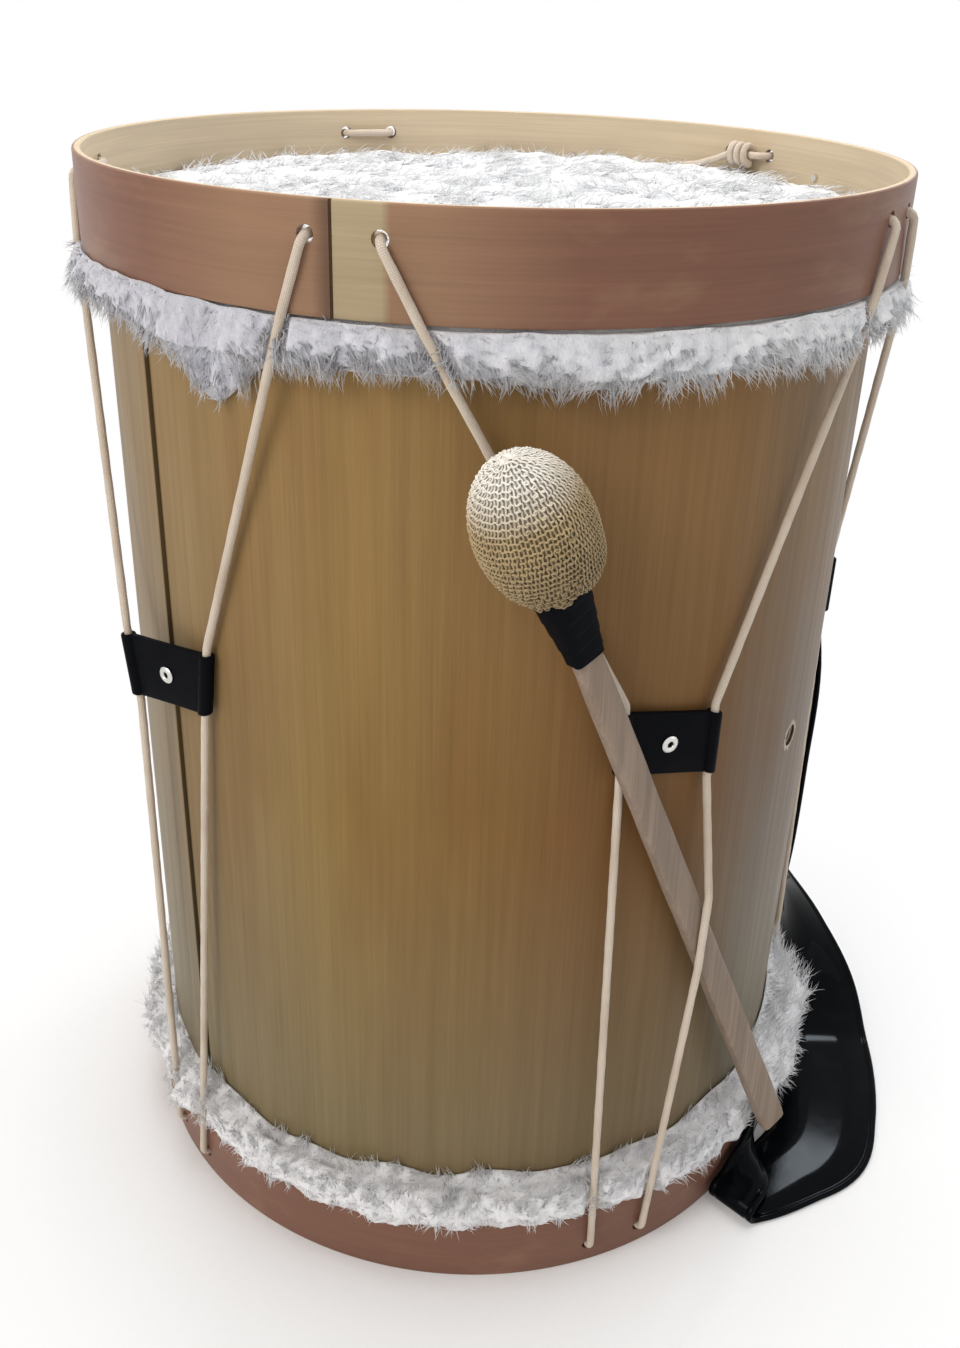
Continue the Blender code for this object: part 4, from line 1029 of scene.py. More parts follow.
def tube(name, points, diameter, sides=12):
    """Round cord along a line, a little uneven in thickness, with its lay written as a UV map."""
    line, step = evenly(points, CORD_STEP), CORD_STEP
    ahead = unit(np.gradient(line, axis=0))
    normal = np.cross(ahead[0], (0.31, 0.52, 0.79))
    rings = []
    for k, (centre, way) in enumerate(zip(line, ahead)):
        normal = normal - way * normal.dot(way)
        normal /= np.linalg.norm(normal)
        across = np.cross(way, normal)
        uneven = 0.025 * math.sin(k * step * 410) + 0.02 * math.sin(k * step * 173 + 1.0)
        radius = diameter / 2 * (1 + uneven)
        turns = [2 * math.pi * i / sides for i in range(sides)]
        rings.append([centre + radius * (normal * math.cos(t) + across * math.sin(t)) for t in turns])
    along = [k * step for k in range(len(line))]
    piece = lofted(name, rings, (math.pi * diameter, along))
    smooth(piece, 50)
    return piece


def knot_lines(left, right):
    """The cord's first end, wound inside the top hoop round its last end, and that end with its tail."""
    reach = 2 * CORD_RADIUS + 0.0009
    turns, steps = 2.75, 24
    core_radius = CORD_INNER - reach
    middle = (left + right) / 2
    along = polar(middle + 90, 1.0, 0.0)
    outward = polar(middle, 1.0, 0.0)
    height = DRUM_HEIGHT - HOLE_INSET
    centre = polar(middle, core_radius, height)
    length = turns * reach
    count = round(turns * steps)
    winding = []
    for i in range(count + 1):
        turn = 2 * math.pi * turns * (1 - i / count)
        swing = outward * math.cos(turn) + Vector((0.0, 0.0, math.sin(turn)))
        winding.append(centre + along * length * (i / count - 0.5) + swing * reach)
    drop = height - (SKIN_UNDER + 0.0083 + CORD_RADIUS + CORD_ROOM)
    core = [
        centre - along * (length / 2 + CORD_RADIUS),
        centre + along * length / 2,
        polar(right + 0.8, core_radius - CORD_RADIUS, height - 0.4 * drop),
        polar(right + 4.5, core_radius - CORD_RADIUS, height - 0.8 * drop),
        polar(right + 8.5, core_radius - CORD_RADIUS, height - drop),
    ]
    return winding, core


def lacing_lines():
    """For each tab, the lines of its cord: left and right above it, and the one below it."""
    lines = []
    knot = STATIONS[KNOT_STATION].top
    winding, core = knot_lines(knot - TOP_HOLES_APART / 2, knot + TOP_HOLES_APART / 2)
    for k, station in enumerate(STATIONS):
        after = STATIONS[(k + 1) % len(STATIONS)]
        leaving = station.top + TOP_HOLES_APART / 2
        arriving = after.top - TOP_HOLES_APART / 2
        low_left = station.bottom - BOTTOM_HOLES_APART / 2
        low_right = station.bottom + BOTTOM_HOLES_APART / 2
        left_up, left_low = leg_corners(station, -1, leaving, low_left, station.top, station.bottom)
        right_up, right_low = leg_corners(station, 1, arriving, low_right, after.top, station.bottom)
        if k == KNOT_STATION:
            left_up = [*winding, *left_up[1:]]
        elif after is STATIONS[KNOT_STATION]:
            right_up = [*core[::-1], *right_up[1:]]
        lines.append((left_up, right_up, left_low + right_low[-2::-1]))
    return lines


# Mallet


def mallet_matrix():
    """The mallet's own frame: its foot at the origin, +Z towards the head, -Y away from the drum."""
    across = SHAFT_ALONG.cross(SHAFT_OUTWARD)
    axes = Matrix((-across, -SHAFT_OUTWARD, SHAFT_ALONG)).transposed()
    return Matrix.Translation(SHAFT_FOOT) @ axes.to_4x4()


FOLD_TURN = math.radians(222)
NECK_TURN = math.pi - math.asin(NECK_RADIUS / HEAD_RADIUS)


def head_point(turn, round_turn, sink):
    """Point on the knitted head, sunk below its outside, drawn into folds towards its neck."""
    gather = min(max(0.0, (turn - 1.95) / 0.6), 1.0) ** 1.5
    fold = 0.0014 * gather * math.sin(9 * round_turn + 1.3 * math.sin(2 * round_turn))
    aside = (round_turn - FOLD_TURN + math.pi) % (2 * math.pi) - math.pi
    fold += 0.0022 * math.exp(-(((turn - 2.2) / 0.3) ** 2) - (aside / 0.5) ** 2)
    radius = HEAD_RADIUS * math.sin(turn) - sink + fold
    height = HEAD_CENTRE + (HEAD_HALF - sink) * math.cos(turn)
    return Vector((radius * math.cos(round_turn), radius * math.sin(round_turn), height))


def knitted_rows(sizes):
    """Rows of loops over the head: each a ring of points, with how the yarn goes in and out of the cloth.

    The wales stand out on one half of the head and the purl ridges on the other.
    """
    samples = np.linspace(0.10, NECK_TURN - 0.08, 400)
    side = np.array([(HEAD_RADIUS * math.sin(t), HEAD_HALF * math.cos(t)) for t in samples])
    along = travelled(side)
    count = int(along[-1] / sizes.stitch_height)
    steps = 12
    rng = np.random.default_rng(5)
    rows = []
    for row in range(count + 1):
        turn = float(np.interp(along[-1] * row / count, along, samples))
        stitches = max(9, round(2 * math.pi * HEAD_RADIUS * math.sin(turn) / sizes.stitch_width))
        slope = math.hypot(HEAD_RADIUS * math.cos(turn), HEAD_HALF * math.sin(turn))
        half_rise = 0.66 * sizes.stitch_height / slope
        marks = np.arange(stitches * steps) / steps
        slack = np.resize(rng.uniform(0.7, 1.3, stitches), stitches + 1)
        slack = np.interp(marks, np.arange(stitches + 1), slack)
        ring = []
        for i in range(stitches * steps):
            phase = 2 * math.pi * i / steps
            around = 2 * math.pi / stitches * (i / steps + 0.14 * math.sin(2 * phase)) + 0.1 * row
            wales = 1.0 if math.cos(around) < 0.1 * math.sin(3.0 * row) else -1.0
            sink = sizes.yarn * (0.75 + 0.6 * wales * math.cos(2 * phase))
            bobble = 0.00015 * math.sin(7.0 * i + 3.0 * row)
            ring.append(head_point(turn - half_rise * slack[i] * math.cos(phase), around, sink + bobble))
        rows.append(ring)
    return rows


def yarn_ring(name, ring, diameter, sides=5):
    """Closed ring of yarn through points."""
    line = np.array([tuple(point) for point in ring])
    ahead = unit(np.roll(line, -1, axis=0) - np.roll(line, 1, axis=0))
    out = unit(line - np.array((0.0, 0.0, HEAD_CENTRE)))
    normal = unit(out - ahead * np.sum(out * ahead, axis=1, keepdims=True))
    across = np.cross(ahead, normal)
    turns = np.arange(sides) * 2 * math.pi / sides
    rings = line[:, None] + diameter / 2 * (
        normal[:, None] * np.cos(turns)[None, :, None] + across[:, None] * np.sin(turns)[None, :, None]
    )
    step = float(np.mean(np.linalg.norm(np.diff(line, axis=0), axis=1)))
    along = [k * step for k in range(len(line) + 1)]
    return lofted(name, rings, (math.pi * diameter, along), closed_path=True)


def soft_box(half_width, half_depth, power, count, height):
    """Section between an ellipse (power 2) and a rectangle with soft corners."""
    ring = []
    for i in range(count):
        turn = 2 * math.pi * i / count
        across = abs(math.cos(turn) / half_width) ** power
        deep = abs(math.sin(turn) / half_depth) ** power
        reach = (across + deep) ** (-1 / power)
        ring.append(Vector((reach * math.cos(turn), reach * math.sin(turn), height)))
    return ring


# Strap


def strap_stations(sizes):
    """Stations of the strap: angle, distance outside the hoops, height, width, and how it lies.

    It hangs flat against the drum at lie 0, lies flat on the floor at 1 and stands on edge at 2.
    """
    thick = sizes.strap_thickness
    full_width, tongue = sizes.strap_width, 0.022
    on_hoop = 0.0003 + thick / 2
    on_floor = 0.0007 + thick / 2
    upper, lower = STRAP_UPPER_ANGLE, STRAP_LOWER_ANGLE
    top, low = STRAP_UPPER_HEIGHT, STRAP_LOWER_HEIGHT
    return [
        (upper, on_hoop, top + 0.013, tongue, 0.0),
        (upper, on_hoop, top - 0.005, tongue, 0.0),
        (upper, on_hoop + 0.0045, top - 0.030, tongue, 0.0),
        (upper, on_hoop + 0.0062, top - 0.060, 0.75 * tongue + 0.25 * full_width, 0.0),
        (upper, on_hoop + 0.0062, top - 0.100, 0.4 * tongue + 0.6 * full_width, 0.0),
        (upper, on_hoop + 0.0065, top - 0.150, full_width, 0.0),
        (upper - 1.0, on_hoop + 0.0085, 0.325, full_width, 0.0),
        (upper - 5.0, on_hoop + 0.0145, 0.255, full_width, 0.0),
        (upper - 6.5, on_hoop + 0.0150, 0.190, full_width, 0.05),
        (upper - 7.5, on_hoop + 0.0155, 0.130, full_width, 0.10),
        (upper - 9.5, on_hoop + 0.0200, 0.084, full_width, 0.3),
        (upper - 12.5, on_hoop + 0.0340, 0.043, full_width, 0.65),
        (upper - 17.5, on_hoop + 0.0410, 0.016, full_width, 0.95),
        (upper - 24.5, 0.0410, on_floor + 0.002, full_width, 1.0),
        (upper - 32.0, 0.0405, on_floor, full_width, 1.0),
        (upper - 42.0, 0.0405, on_floor, full_width, 1.0),
        (upper - 50.0, 0.0400, on_floor, full_width, 1.0),
        (lower - 7.5, 0.0300, on_floor, 0.85 * full_width, 1.0),
        (lower - 13.0, 0.0240, on_floor, 0.68 * full_width, 1.0),
        (lower - 17.0, 0.0197, on_floor, 0.54 * full_width, 1.0),
        (lower - 19.0, 0.0183, on_floor + 0.0010, 0.49 * full_width, 1.0),
        (lower - 19.9, 0.0178, on_floor + 0.0055, 0.48 * full_width, 1.0),
        (lower - 19.1, 0.0178, on_floor + 0.0105, 0.48 * full_width, 1.0),
        (lower - 16.5, 0.0172, on_floor + 0.0123, 0.46 * full_width, 1.05),
        (lower - 13.0, 0.0145, low, 0.42 * full_width, 1.35),
        (lower - 9.0, 0.0080, low, 0.38 * full_width, 1.75),
        (lower - 5.5, on_hoop + 0.0010, low, tongue, 2.0),
        (lower - 3.0, on_hoop, low, tongue, 2.0),
        (lower + 2.5, on_hoop, low, tongue, 2.0),
    ]


def smooth_between(values, span, share):
    """Value on a smooth curve through a list of values, a share of the way along one span."""
    last = len(values) - 1
    before, start, end, after = (values[min(max(span + i, 0), last)] for i in (-1, 0, 1, 2))
    square = share * share
    cube = square * share
    return (
        start * (2 * cube - 3 * square + 1)
        + (end - before) / 2 * (cube - 2 * square + share)
        + end * (3 * square - 2 * cube)
        + (after - start) / 2 * (cube - square)
    )


def strap_width_direction(angle, lie):
    """Direction across the strap: round the drum, then away from it, then down."""
    quarter = math.pi / 2
    if lie <= 1.0:
        edge = lie * quarter
        return polar(angle + 90, math.cos(edge), 0.0) + polar(angle, math.sin(edge), 0.0)
    edge = (lie - 1.0) * quarter
    return polar(angle, math.cos(edge), -math.sin(edge))


def strap_section(width, thick):
    """Strap's section as (across, through) points: rounded edges, a pressed crease beside each edge."""
    half, deep = width / 2, thick / 2
    crease, groove = 0.0042, 0.0006
    face = [
        (half - 0.0009, deep),
        (half - crease + 0.0012, deep),
        (half - crease, deep - groove),
        (half - crease - 0.0012, deep),
        (0.3 * half, deep),
    ]
    side = [(half, -0.4 * deep), (half, 0.4 * deep)]
    front = side + face + [(-a, t) for a, t in face[::-1]]
    back = [(-a, -t) for a, t in side + face] + [(a, -t) for a, t in face[::-1]]
    return front + back


# Operators


class BOMBO_OT_stage(bpy.types.Operator):
    """Lay the floor, hang the soft lights and set the camera at the photograph's view"""

    bl_idname = "bombo.stage"
    bl_label = "Stage"

    def execute(self, context):
        scene = context.scene
        scene.view_settings.view_transform = "Standard"
        bpy.ops.mesh.primitive_plane_add(size=14.0, location=(0.0, 0.0, 0.0))
        floor = context.object
        floor.name = "floor"
        bpy.ops.object.transform_apply(location=True, rotation=True, scale=True)
        floor.data.materials.append(floor_finish(scene.bombo_colours))
        self.light_world(scene)
        for light in LIGHTS:
            self.hang_light(*light)
        self.set_camera(scene)
        return {"FINISHED"}

    def light_world(self, scene):
        """Even pale surroundings: white to the eye, softer as light."""
        world = bpy.data.worlds.new("pale_room")
        scene.world = world
        world.use_nodes = True
        nodes = Nodes(world.node_tree)
        back = world.node_tree.nodes["Background"]
        back.inputs["Color"].default_value = (1.0, 1.0, 1.0, 1.0)
        strength = nodes.ranged(nodes.seen_or_mirrored(), 0.0, 1.0, ROOM_LIGHT, 1.0)
        world.node_tree.links.new(strength, back.inputs["Strength"])

    def hang_light(self, name, place, aim, width, power, shade):
        """Square soft light that faces a point."""
        facing = (Vector(aim) - Vector(place)).to_track_quat("-Z", "Y").to_euler()
        bpy.ops.object.light_add(type="AREA", location=place, rotation=facing)
        lamp = bpy.context.object
        lamp.name = name
        lamp.data.size = width
        lamp.data.energy = power
        lamp.data.color = linear(shade)
        lamp.visible_glossy = name != NOT_MIRRORED

    def set_camera(self, scene):
        """Camera at the photograph's place, with its lens."""
        ahead = Vector(
            (
                math.sin(CAMERA_YAW) * math.cos(CAMERA_PITCH),
                math.cos(CAMERA_YAW) * math.cos(CAMERA_PITCH),
                -math.sin(CAMERA_PITCH),
            )
        )
        level = Vector((math.cos(CAMERA_YAW), -math.sin(CAMERA_YAW), 0.0))
        upright = level.cross(ahead)
        right = math.cos(CAMERA_ROLL) * level + math.sin(CAMERA_ROLL) * upright
        up = math.cos(CAMERA_ROLL) * upright - math.sin(CAMERA_ROLL) * level
        bpy.ops.object.camera_add()
        camera = bpy.context.object
        camera.name = "photograph_camera"
        axes = Matrix((right, up, -ahead)).transposed()
        camera.matrix_world = Matrix.Translation(CAMERA_PLACE) @ axes.to_4x4()
        camera.data.sensor_fit = "VERTICAL"
        camera.data.sensor_height = SENSOR_HEIGHT
        camera.data.lens = FOCAL_PIXELS / IMAGE_HEIGHT * SENSOR_HEIGHT
        camera.data.clip_start = 0.01
        scene.camera = camera


class BOMBO_OT_shell(bpy.types.Operator):
    """Bend the plywood shell, with its lap seam and its vent"""

    bl_idname = "bombo.shell"
    bl_label = "Shell"

    def execute(self, context):
        inner = SHELL_RADIUS - SHELL_WALL
        outline = [(inner, SHELL_LOW), (SHELL_RADIUS, SHELL_LOW)]
        heights = [SHELL_LOW + (SHELL_HIGH - SHELL_LOW) * i / 12 for i in range(1, 12)]
        outline += [(SHELL_RADIUS, z) for z in heights]
        outline += [(SHELL_RADIUS, SHELL_HIGH), (inner, SHELL_HIGH)]
        shell = spun("plywood_shell", outline)
        vent = VENT_ANGLE, VENT_HEIGHT
        cutters = [
            radial_bar("seam_cut", SEAM_ANGLE, SHELL_RADIUS, SHELL_LOW, SHELL_HIGH, 0.0022, 0.0016),
            radial_rod("vent_cut", *vent, inner - CUT_PAST, SHELL_RADIUS + CUT_PAST, VENT_DIAMETER),
            radial_rod("vent_flare", *vent, SHELL_RADIUS - 0.0018, SHELL_RADIUS + 0.0012, 0.0165, 0.0082),
        ]
        cut_out(shell, cutters)
        raise_lap(shell, SEAM_ANGLE - 0.05, LAP_SPAN, 0.0012, SHELL_RADIUS - 0.001)
        smooth(shell, 30)
        dress(shell, veneer_finish(context.scene.bombo_colours), "shell", "drum")
        return {"FINISHED"}


class BOMBO_OT_hoops(bpy.types.Operator):
    """Bend the two counter hoops, with their lap joints and lacing holes"""

    bl_idname = "bombo.hoops"
    bl_label = "Hoops"

    def execute(self, context):
        colours = context.scene.bombo_colours
        tops = [s.top + side * TOP_HOLES_APART / 2 for s in STATIONS for side in (-1, 1)]
        bottoms = [s.bottom + side * BOTTOM_HOLES_APART / 2 for s in STATIONS for side in (-1, 1)]
        self.bend("top", DRUM_HEIGHT - HOOP_HEIGHT, TOP_LAP, tops, DRUM_HEIGHT - HOLE_INSET, colours)
        self.bend("bottom", 0.0, BOTTOM_LAP, bottoms, HOLE_INSET, colours)
        return {"FINISHED"}

    def bend(self, end, low, lap, angles, hole_height, colours):
        """One hoop: spun band, cut holes and lap, softened rims."""
        high = low + HOOP_HEIGHT
        outline = [(HOOP_INNER, low), (HOOP_OUTER, low)]
        outline += [(HOOP_OUTER, low + HOOP_HEIGHT * i / 4) for i in range(1, 4)]
        outline += [(HOOP_OUTER, high), (HOOP_INNER, high)]
        hoop = spun(f"{end}_counter_hoop", outline)
        sharp = {"limit_method": "ANGLE", "angle_limit": math.radians(50)}
        apply_modifier(hoop, "rim", "BEVEL", width=0.001, segments=3, **sharp)
        near, far = HOOP_INNER - CUT_PAST, HOOP_OUTER + CUT_PAST
        hole = hole_height, near, far, HOLE_DIAMETER
        cutters = [radial_rod("hole_cut", angle, *hole) for angle in angles]
        cutters.append(radial_bar("lap_cut", lap, HOOP_OUTER, low, high, 0.0010, 0.0012))
        cut_out(hoop, cutters)
        raise_lap(hoop, lap - 0.05, LAP_SPAN, 0.0009, HOOP_OUTER - 0.0016)
        smooth(hoop, 30)
        wood = hoop_finish(f"stained_{end}_hoop_wood", colours, lap, low)
        dress(hoop, wood, f"{end}_hoop", "drum")


class BOMBO_OT_skins(bpy.types.Operator):
    """Stretch the woolly skins over both ends and dress their edges and faces with wool"""

    bl_idname = "bombo.skins"
    bl_label = "Skins"

    STRANDS = 11000
    # Points round the matted wool of an edge and down it
    ROUND, DEEP = 1080, 15
    FACE_ROUND, FACE_DEEP = 240, 66
    # Angle and width of the thick wool at the bottom's right side
    CLUMP = 82, 22
    FACE_HEIGHT = 0.5395

    def execute(self, context):
        scene = context.scene
        finish = wool_finish(scene.bombo_colours)
        lines = [line for three in lacing_lines() for line in three]
        routes = [evenly(bent_route(line, CORD_BEND), CORD_STEP) for line in lines]
        self.neighbours = Neighbours([point for route in routes for point in route])
        for seed, end in ((11, "top"), (23, "bottom")):
            parts = (self.pelt(end, seed), self.edge_fleece(end, seed), self.face_fleece(end, seed))
            pelt = join_pieces(f"{end}_pelt", parts)
            edge = self.edge(end, seed, scene.bombo_sizes)
            face = self.face(end, seed, scene.bombo_sizes)
            for piece in (pelt, edge, face):
                dress(piece, finish, f"{end}_head", "drum")
        return {"FINISHED"}

    def over(self, end, places):
        """Places at the top skin carried to the skin at one end."""
        if end == "bottom":
            places = places.copy()
            places[:, 2] = DRUM_HEIGHT - places[:, 2]
        return places

    def settle(self, end, piece):
        """Carry a piece made at the top to its own end of the drum."""
        if end == "bottom":
            set_vertices(piece.data, self.over(end, vertex_array(piece.data)))
            piece.data.flip_normals()
        return piece

    def pelt(self, end, seed):
        """The skin itself with its short undercoat, rolled round the flesh hoop at its edge."""
        flap = SKIN_RADIUS + 0.0008
        slit = ROLL_RADIUS - 0.002
        outline = [(0.0, SKIN_UNDER)]
        outline += [(SKIN_RADIUS - 0.002, SKIN_UNDER), (SKIN_RADIUS - 0.002, ROLL_BOTTOM)]
        outline += [(ROLL_RADIUS - 0.002, ROLL_BOTTOM), (ROLL_RADIUS - 0.0005, ROLL_BOTTOM + 0.0006)]
        outline += [(ROLL_RADIUS, ROLL_BOTTOM + 0.002 + 0.0157 * i / 6) for i in range(7)]
        outline += [(ROLL_RADIUS - 0.001, ROLL_TOP), (flap, ROLL_TOP), (flap, ROLL_TOP - 0.002)]
        outline += [(slit, ROLL_TOP - 0.002), (slit, ROLL_BOTTOM + 0.002)]
        outline += [(SKIN_RADIUS, ROLL_BOTTOM + 0.002)]
        outline += [(SKIN_RADIUS, SKIN_TOP - 0.0015), (SKIN_RADIUS - 0.003, SKIN_TOP)]
        outline += [(SKIN_RADIUS - 0.003 - 0.1898 * i / 22, SKIN_TOP) for i in range(1, 23)]
        pelt = spun(f"{end}_pelt", outline)
        places = vertex_array(pelt.data)
        radius = radius_of(places)
        uneven = lumps(places, 0.014, seed) + 0.6 * lumps(places, 0.006, seed + 1)
        on_face = (places[:, 2] > SKIN_TOP - 0.0005) & (radius < SKIN_RADIUS - 0.002)
        on_roll = (radius > ROLL_RADIUS - 0.0002) & (places[:, 2] < ROLL_TOP - 0.001)
        places[:, 2] += np.where(on_face, 0.0010 * uneven, 0.0)
        rolled = radius + np.where(on_roll, 0.0004 * (uneven - 1), 0.0)
        set_vertices(pelt.data, pushed_radius(places, radius, rolled))
        self.settle(end, pelt)
        smooth(pelt, 60)
        count = len(pelt.data.vertices)
        add_fibre_attributes(pelt.data, np.full(count, 0.5), np.full(count, 0.95))
        return pelt

    def swollen(self, end, turn, share, seed):
        """Places on matted wool over the roll, at turns and shares of the way from hoop to fringe."""
        out = on_ring(np.radians(turn), 1.0)
        spot = ROLL_RADIUS * out + 0.03 * UP * share[:, None]
        # How far the fringe reaches down, how far it swells out, where it is widest and how steeply it
        # starts, and how far its lip stands up in front of the hoop
        if end == "top":
            reach = 0.0180 + 0.031 * hump(turn, -35.5, 7.5) + 0.007 * hump(turn, 14, 14)
            reach += 0.003 * hump(turn, 45, 20)
            swell = np.full(len(turn), 0.0060)
            peak, rise = 0.55, 0.12
            lip = -0.0012 + 0.0035 * hump(turn, -55, 24)
        else:
            clump = hump(turn, *self.CLUMP)
            reach = 0.027 + 0.015 * clump
            peak, rise = 0.2, 0.32
            swell = 0.0070 + 0.011 * clump + 0.004 * hump(turn, -80, 24)
            lip = 0.0012 + 0.0045 * hump(turn, 62, 24)
        reach = 0.92 * reach * (1 + 0.16 * lumps(out * ROLL_RADIUS, 0.045, seed + 1))
        lip = lip + 0.0009 * lumps(out * ROLL_RADIUS, 0.022, seed + 2)
        height = ROLL_TOP + lip - (reach + lip) * share
        tuft = lumps(spot, 0.024, seed + 3)
        fine = 0.0017 * lumps(spot, 0.012, seed + 4) + 0.0009 * lumps(spot, 0.0052, seed + 5)
        roll = np.clip((height - ROLL_BOTTOM) / 0.004 + 0.5, 0.0, 1.0)
        under = SHELL_RADIUS + 0.0016 + (ROLL_RADIUS - SHELL_RADIUS - 0.0016) * roll
        bell = np.sin(np.pi * np.interp(share, (0.0, peak, 1.0), (rise, 0.5, 1.0))) ** 0.8
        radius = under + bell * (swell * (1 + 0.3 * tuft) + fine)
        radius = np.where(height > ROLL_TOP - 0.0012, np.maximum(radius, HOOP_OUTER + 0.0009), radius)
        return out * radius[:, None] + UP * height[:, None]

    def edge_fleece(self, end, seed):
        """Matted wool over the roll: a band that swells out under the hoop, pressed in by the cords."""
        turn = np.repeat(np.arange(self.ROUND) * 360.0 / self.ROUND - 180.0, self.DEEP)
        share = np.tile(np.arange(self.DEEP) / (self.DEEP - 1), self.ROUND)
        places = self.swollen(end, turn, share, seed)
        world = self.over(end, places)
        radius = radius_of(places)
        most = self.neighbours.largest_radius(world, 0.0004)
        most = np.minimum(self.neighbours.under_cords(world), most)
        places = pushed_radius(places, radius, np.maximum(np.minimum(radius, most), SHELL_RADIUS + 0.001))
        rings = places.reshape(self.ROUND, self.DEEP, 3)
        sections = []
        for ring in rings:
            out = Vector((ring[0][0], ring[0][1], 0.0)).normalized()
            back = ((SHELL_RADIUS + 0.0008, ring[-1][2]), (SHELL_RADIUS + 0.0008, ROLL_BOTTOM - 0.0006))
            back += ((ROLL_RADIUS - 0.001, ROLL_BOTTOM + 0.001), (ROLL_RADIUS - 0.001, ROLL_TOP - 0.0014))
            back = [out * reach + Vector((0.0, 0.0, height)) for reach, height in back]
            sections.append([*ring, *back])
        around = [2 * math.pi * ROLL_RADIUS * k / self.ROUND for k in range(self.ROUND + 1)]
        return self.matted(end, lofted("edge_fleece", sections, (0.06, around), closed_path=True), seed)

    def face_fleece(self, end, seed):
        """Matted wool on the flat of the skin, in soft humps that fall off at the hoop."""
        sections = []
        reaches = [0.1942, *np.linspace(0.1945, 0.0025, self.FACE_DEEP)]
        around = np.arange(self.FACE_ROUND) * 2 * math.pi / self.FACE_ROUND
        for k, reach in enumerate(reaches):
            flat = on_ring(around, reach)
            flat[:, 2] = SKIN_TOP - 0.0008 if k == 0 else self.face_height(flat, seed)
            sections.append(flat)
        return self.matted(end, lofted("face_fleece", sections, (0.8, reaches)), seed)

    def face_height(self, flat, seed):
        """Height of the matted wool on the flat of the skin."""
        humps = 0.0024 * lumps(flat, 0.034, seed + 7) + 0.0011 * lumps(flat, 0.012, seed + 8)
        fall = np.clip((radius_of(flat) - 0.176) / 0.0185, 0.0, 1.0) ** 2
        return self.FACE_HEIGHT + humps * (1 - fall) - 0.0030 * fall

    def matted(self, end, piece, seed):
        """Finish matted wool: outward normals, soft shading and what its finish reads."""
        face_outward(piece)
        self.settle(end, piece)
        smooth(piece, 70)
        places = vertex_array(piece.data)
        shade = 0.95 + 0.04 * lumps(places, 0.007, seed + 9)
        add_fibre_attributes(piece.data, np.full(len(places), 0.8), shade)
        return piece

    def edge(self, end, seed, sizes):
        """Loose strands combed away from the hoop over the matted wool, gathered in tufts."""
        rng = np.random.default_rng(seed)
        count = self.STRANDS
        turn = rng.uniform(-180, 180, count)
        share = rng.uniform(0.02, 1.0, count) ** 0.8
        roots = self.swollen(end, turn, share, seed)
        out, level = outward_of(roots)
        roots -= 0.0006 * out
        middle = self.tuft_middles(rng, roots, 16)
        swirl = 0.3 + 0.7 * lumps(middle, 0.05, seed + 2) + 0.9 * lumps(middle, 0.014, seed + 4)
        lift = 0.45 + 0.4 * lumps(middle, 0.013, seed + 6) + rng.normal(scale=0.15, size=count)
        fullness = 0.62 + 0.25 * lumps(middle, 0.03, seed + 3)
        if end == "bottom":
            clump = hump(turn, *self.CLUMP)
            fullness += 0.4 * clump
            lift = lift + 0.3 * clump
        length = sizes.edge_wool * np.clip(fullness, 0.35, 1.5) * rng.uniform(0.6, 1.0, count)
        length = np.where(share < 0.26, 0.65, 1.0) * length
        # Strands beside the hoop are combed back against it
        back = share < (0.10 if end == "top" else 0.26)
        down = np.where(back, 0.5 + 0.5 * lumps(middle, 0.02, seed + 8), -1.0)
        lift = np.where(back, np.abs(lift) + 0.5, lift)
        heading = out * lift[:, None] + UP * down[:, None]
        heading += level * (swirl + rng.normal(scale=0.2, size=count))[:, None]
        heading = unit(heading) + 0.9 * (middle - roots) / length[:, None]
        thick = sizes.strand * rng.uniform(0.7, 1.15, count)
        pull = -0.10 * out - 0.05 * UP
        made = fibres(rng, roots, heading, length, thick, pull, self.clear_of_drum(end), 0.16)
        return self.settle(end, fibre_piece(f"{end}_edge_wool", made))

    def tuft_middles(self, rng, roots, each):
        """For each root the middle of the tuft that it belongs to."""
        chosen = rng.integers(0, len(roots), len(roots) // each)
        return nearest_of(roots[chosen], roots)

    def clear_of_drum(self, end):
        """Keeps edge wool off the shell, the hoop and the cords, and under the stick and the strap."""

        def clear(places, room):
            places = self.over(end, self.neighbours.parted(self.over(end, places), room))
            radius = radius_of(places)
            on_shell, on_roll = SHELL_RADIUS + 0.0012 + room, ROLL_RADIUS + 0.3 * room
            least = np.where(places[:, 2] < ROLL_BOTTOM, on_shell, on_roll)
            beside_hoop = places[:, 2] > ROLL_TOP - 0.0006 - room
            least = np.where(beside_hoop, HOOP_OUTER + 0.0006 + room, least)
            most = self.neighbours.largest_radius(self.over(end, places), room)
            wanted = np.maximum(np.minimum(np.maximum(radius, least), most), SHELL_RADIUS)
            return pushed_radius(places, radius, wanted)

        return clear

    def face(self, end, seed, sizes):
        """Loose strands on the flat of the skin, inside the hoop, lying every way in swirls."""
        rng = np.random.default_rng(seed + 5)

        def clear(places, room):
            reach = radius_of(places)
            held = pushed_radius(places, reach, np.minimum(reach, HOOP_INNER - 0.0012 - room))
            held[:, 2] = np.clip(held[:, 2], SKIN_TOP - 0.0010, DRUM_HEIGHT - 0.0175 - room)
            return held

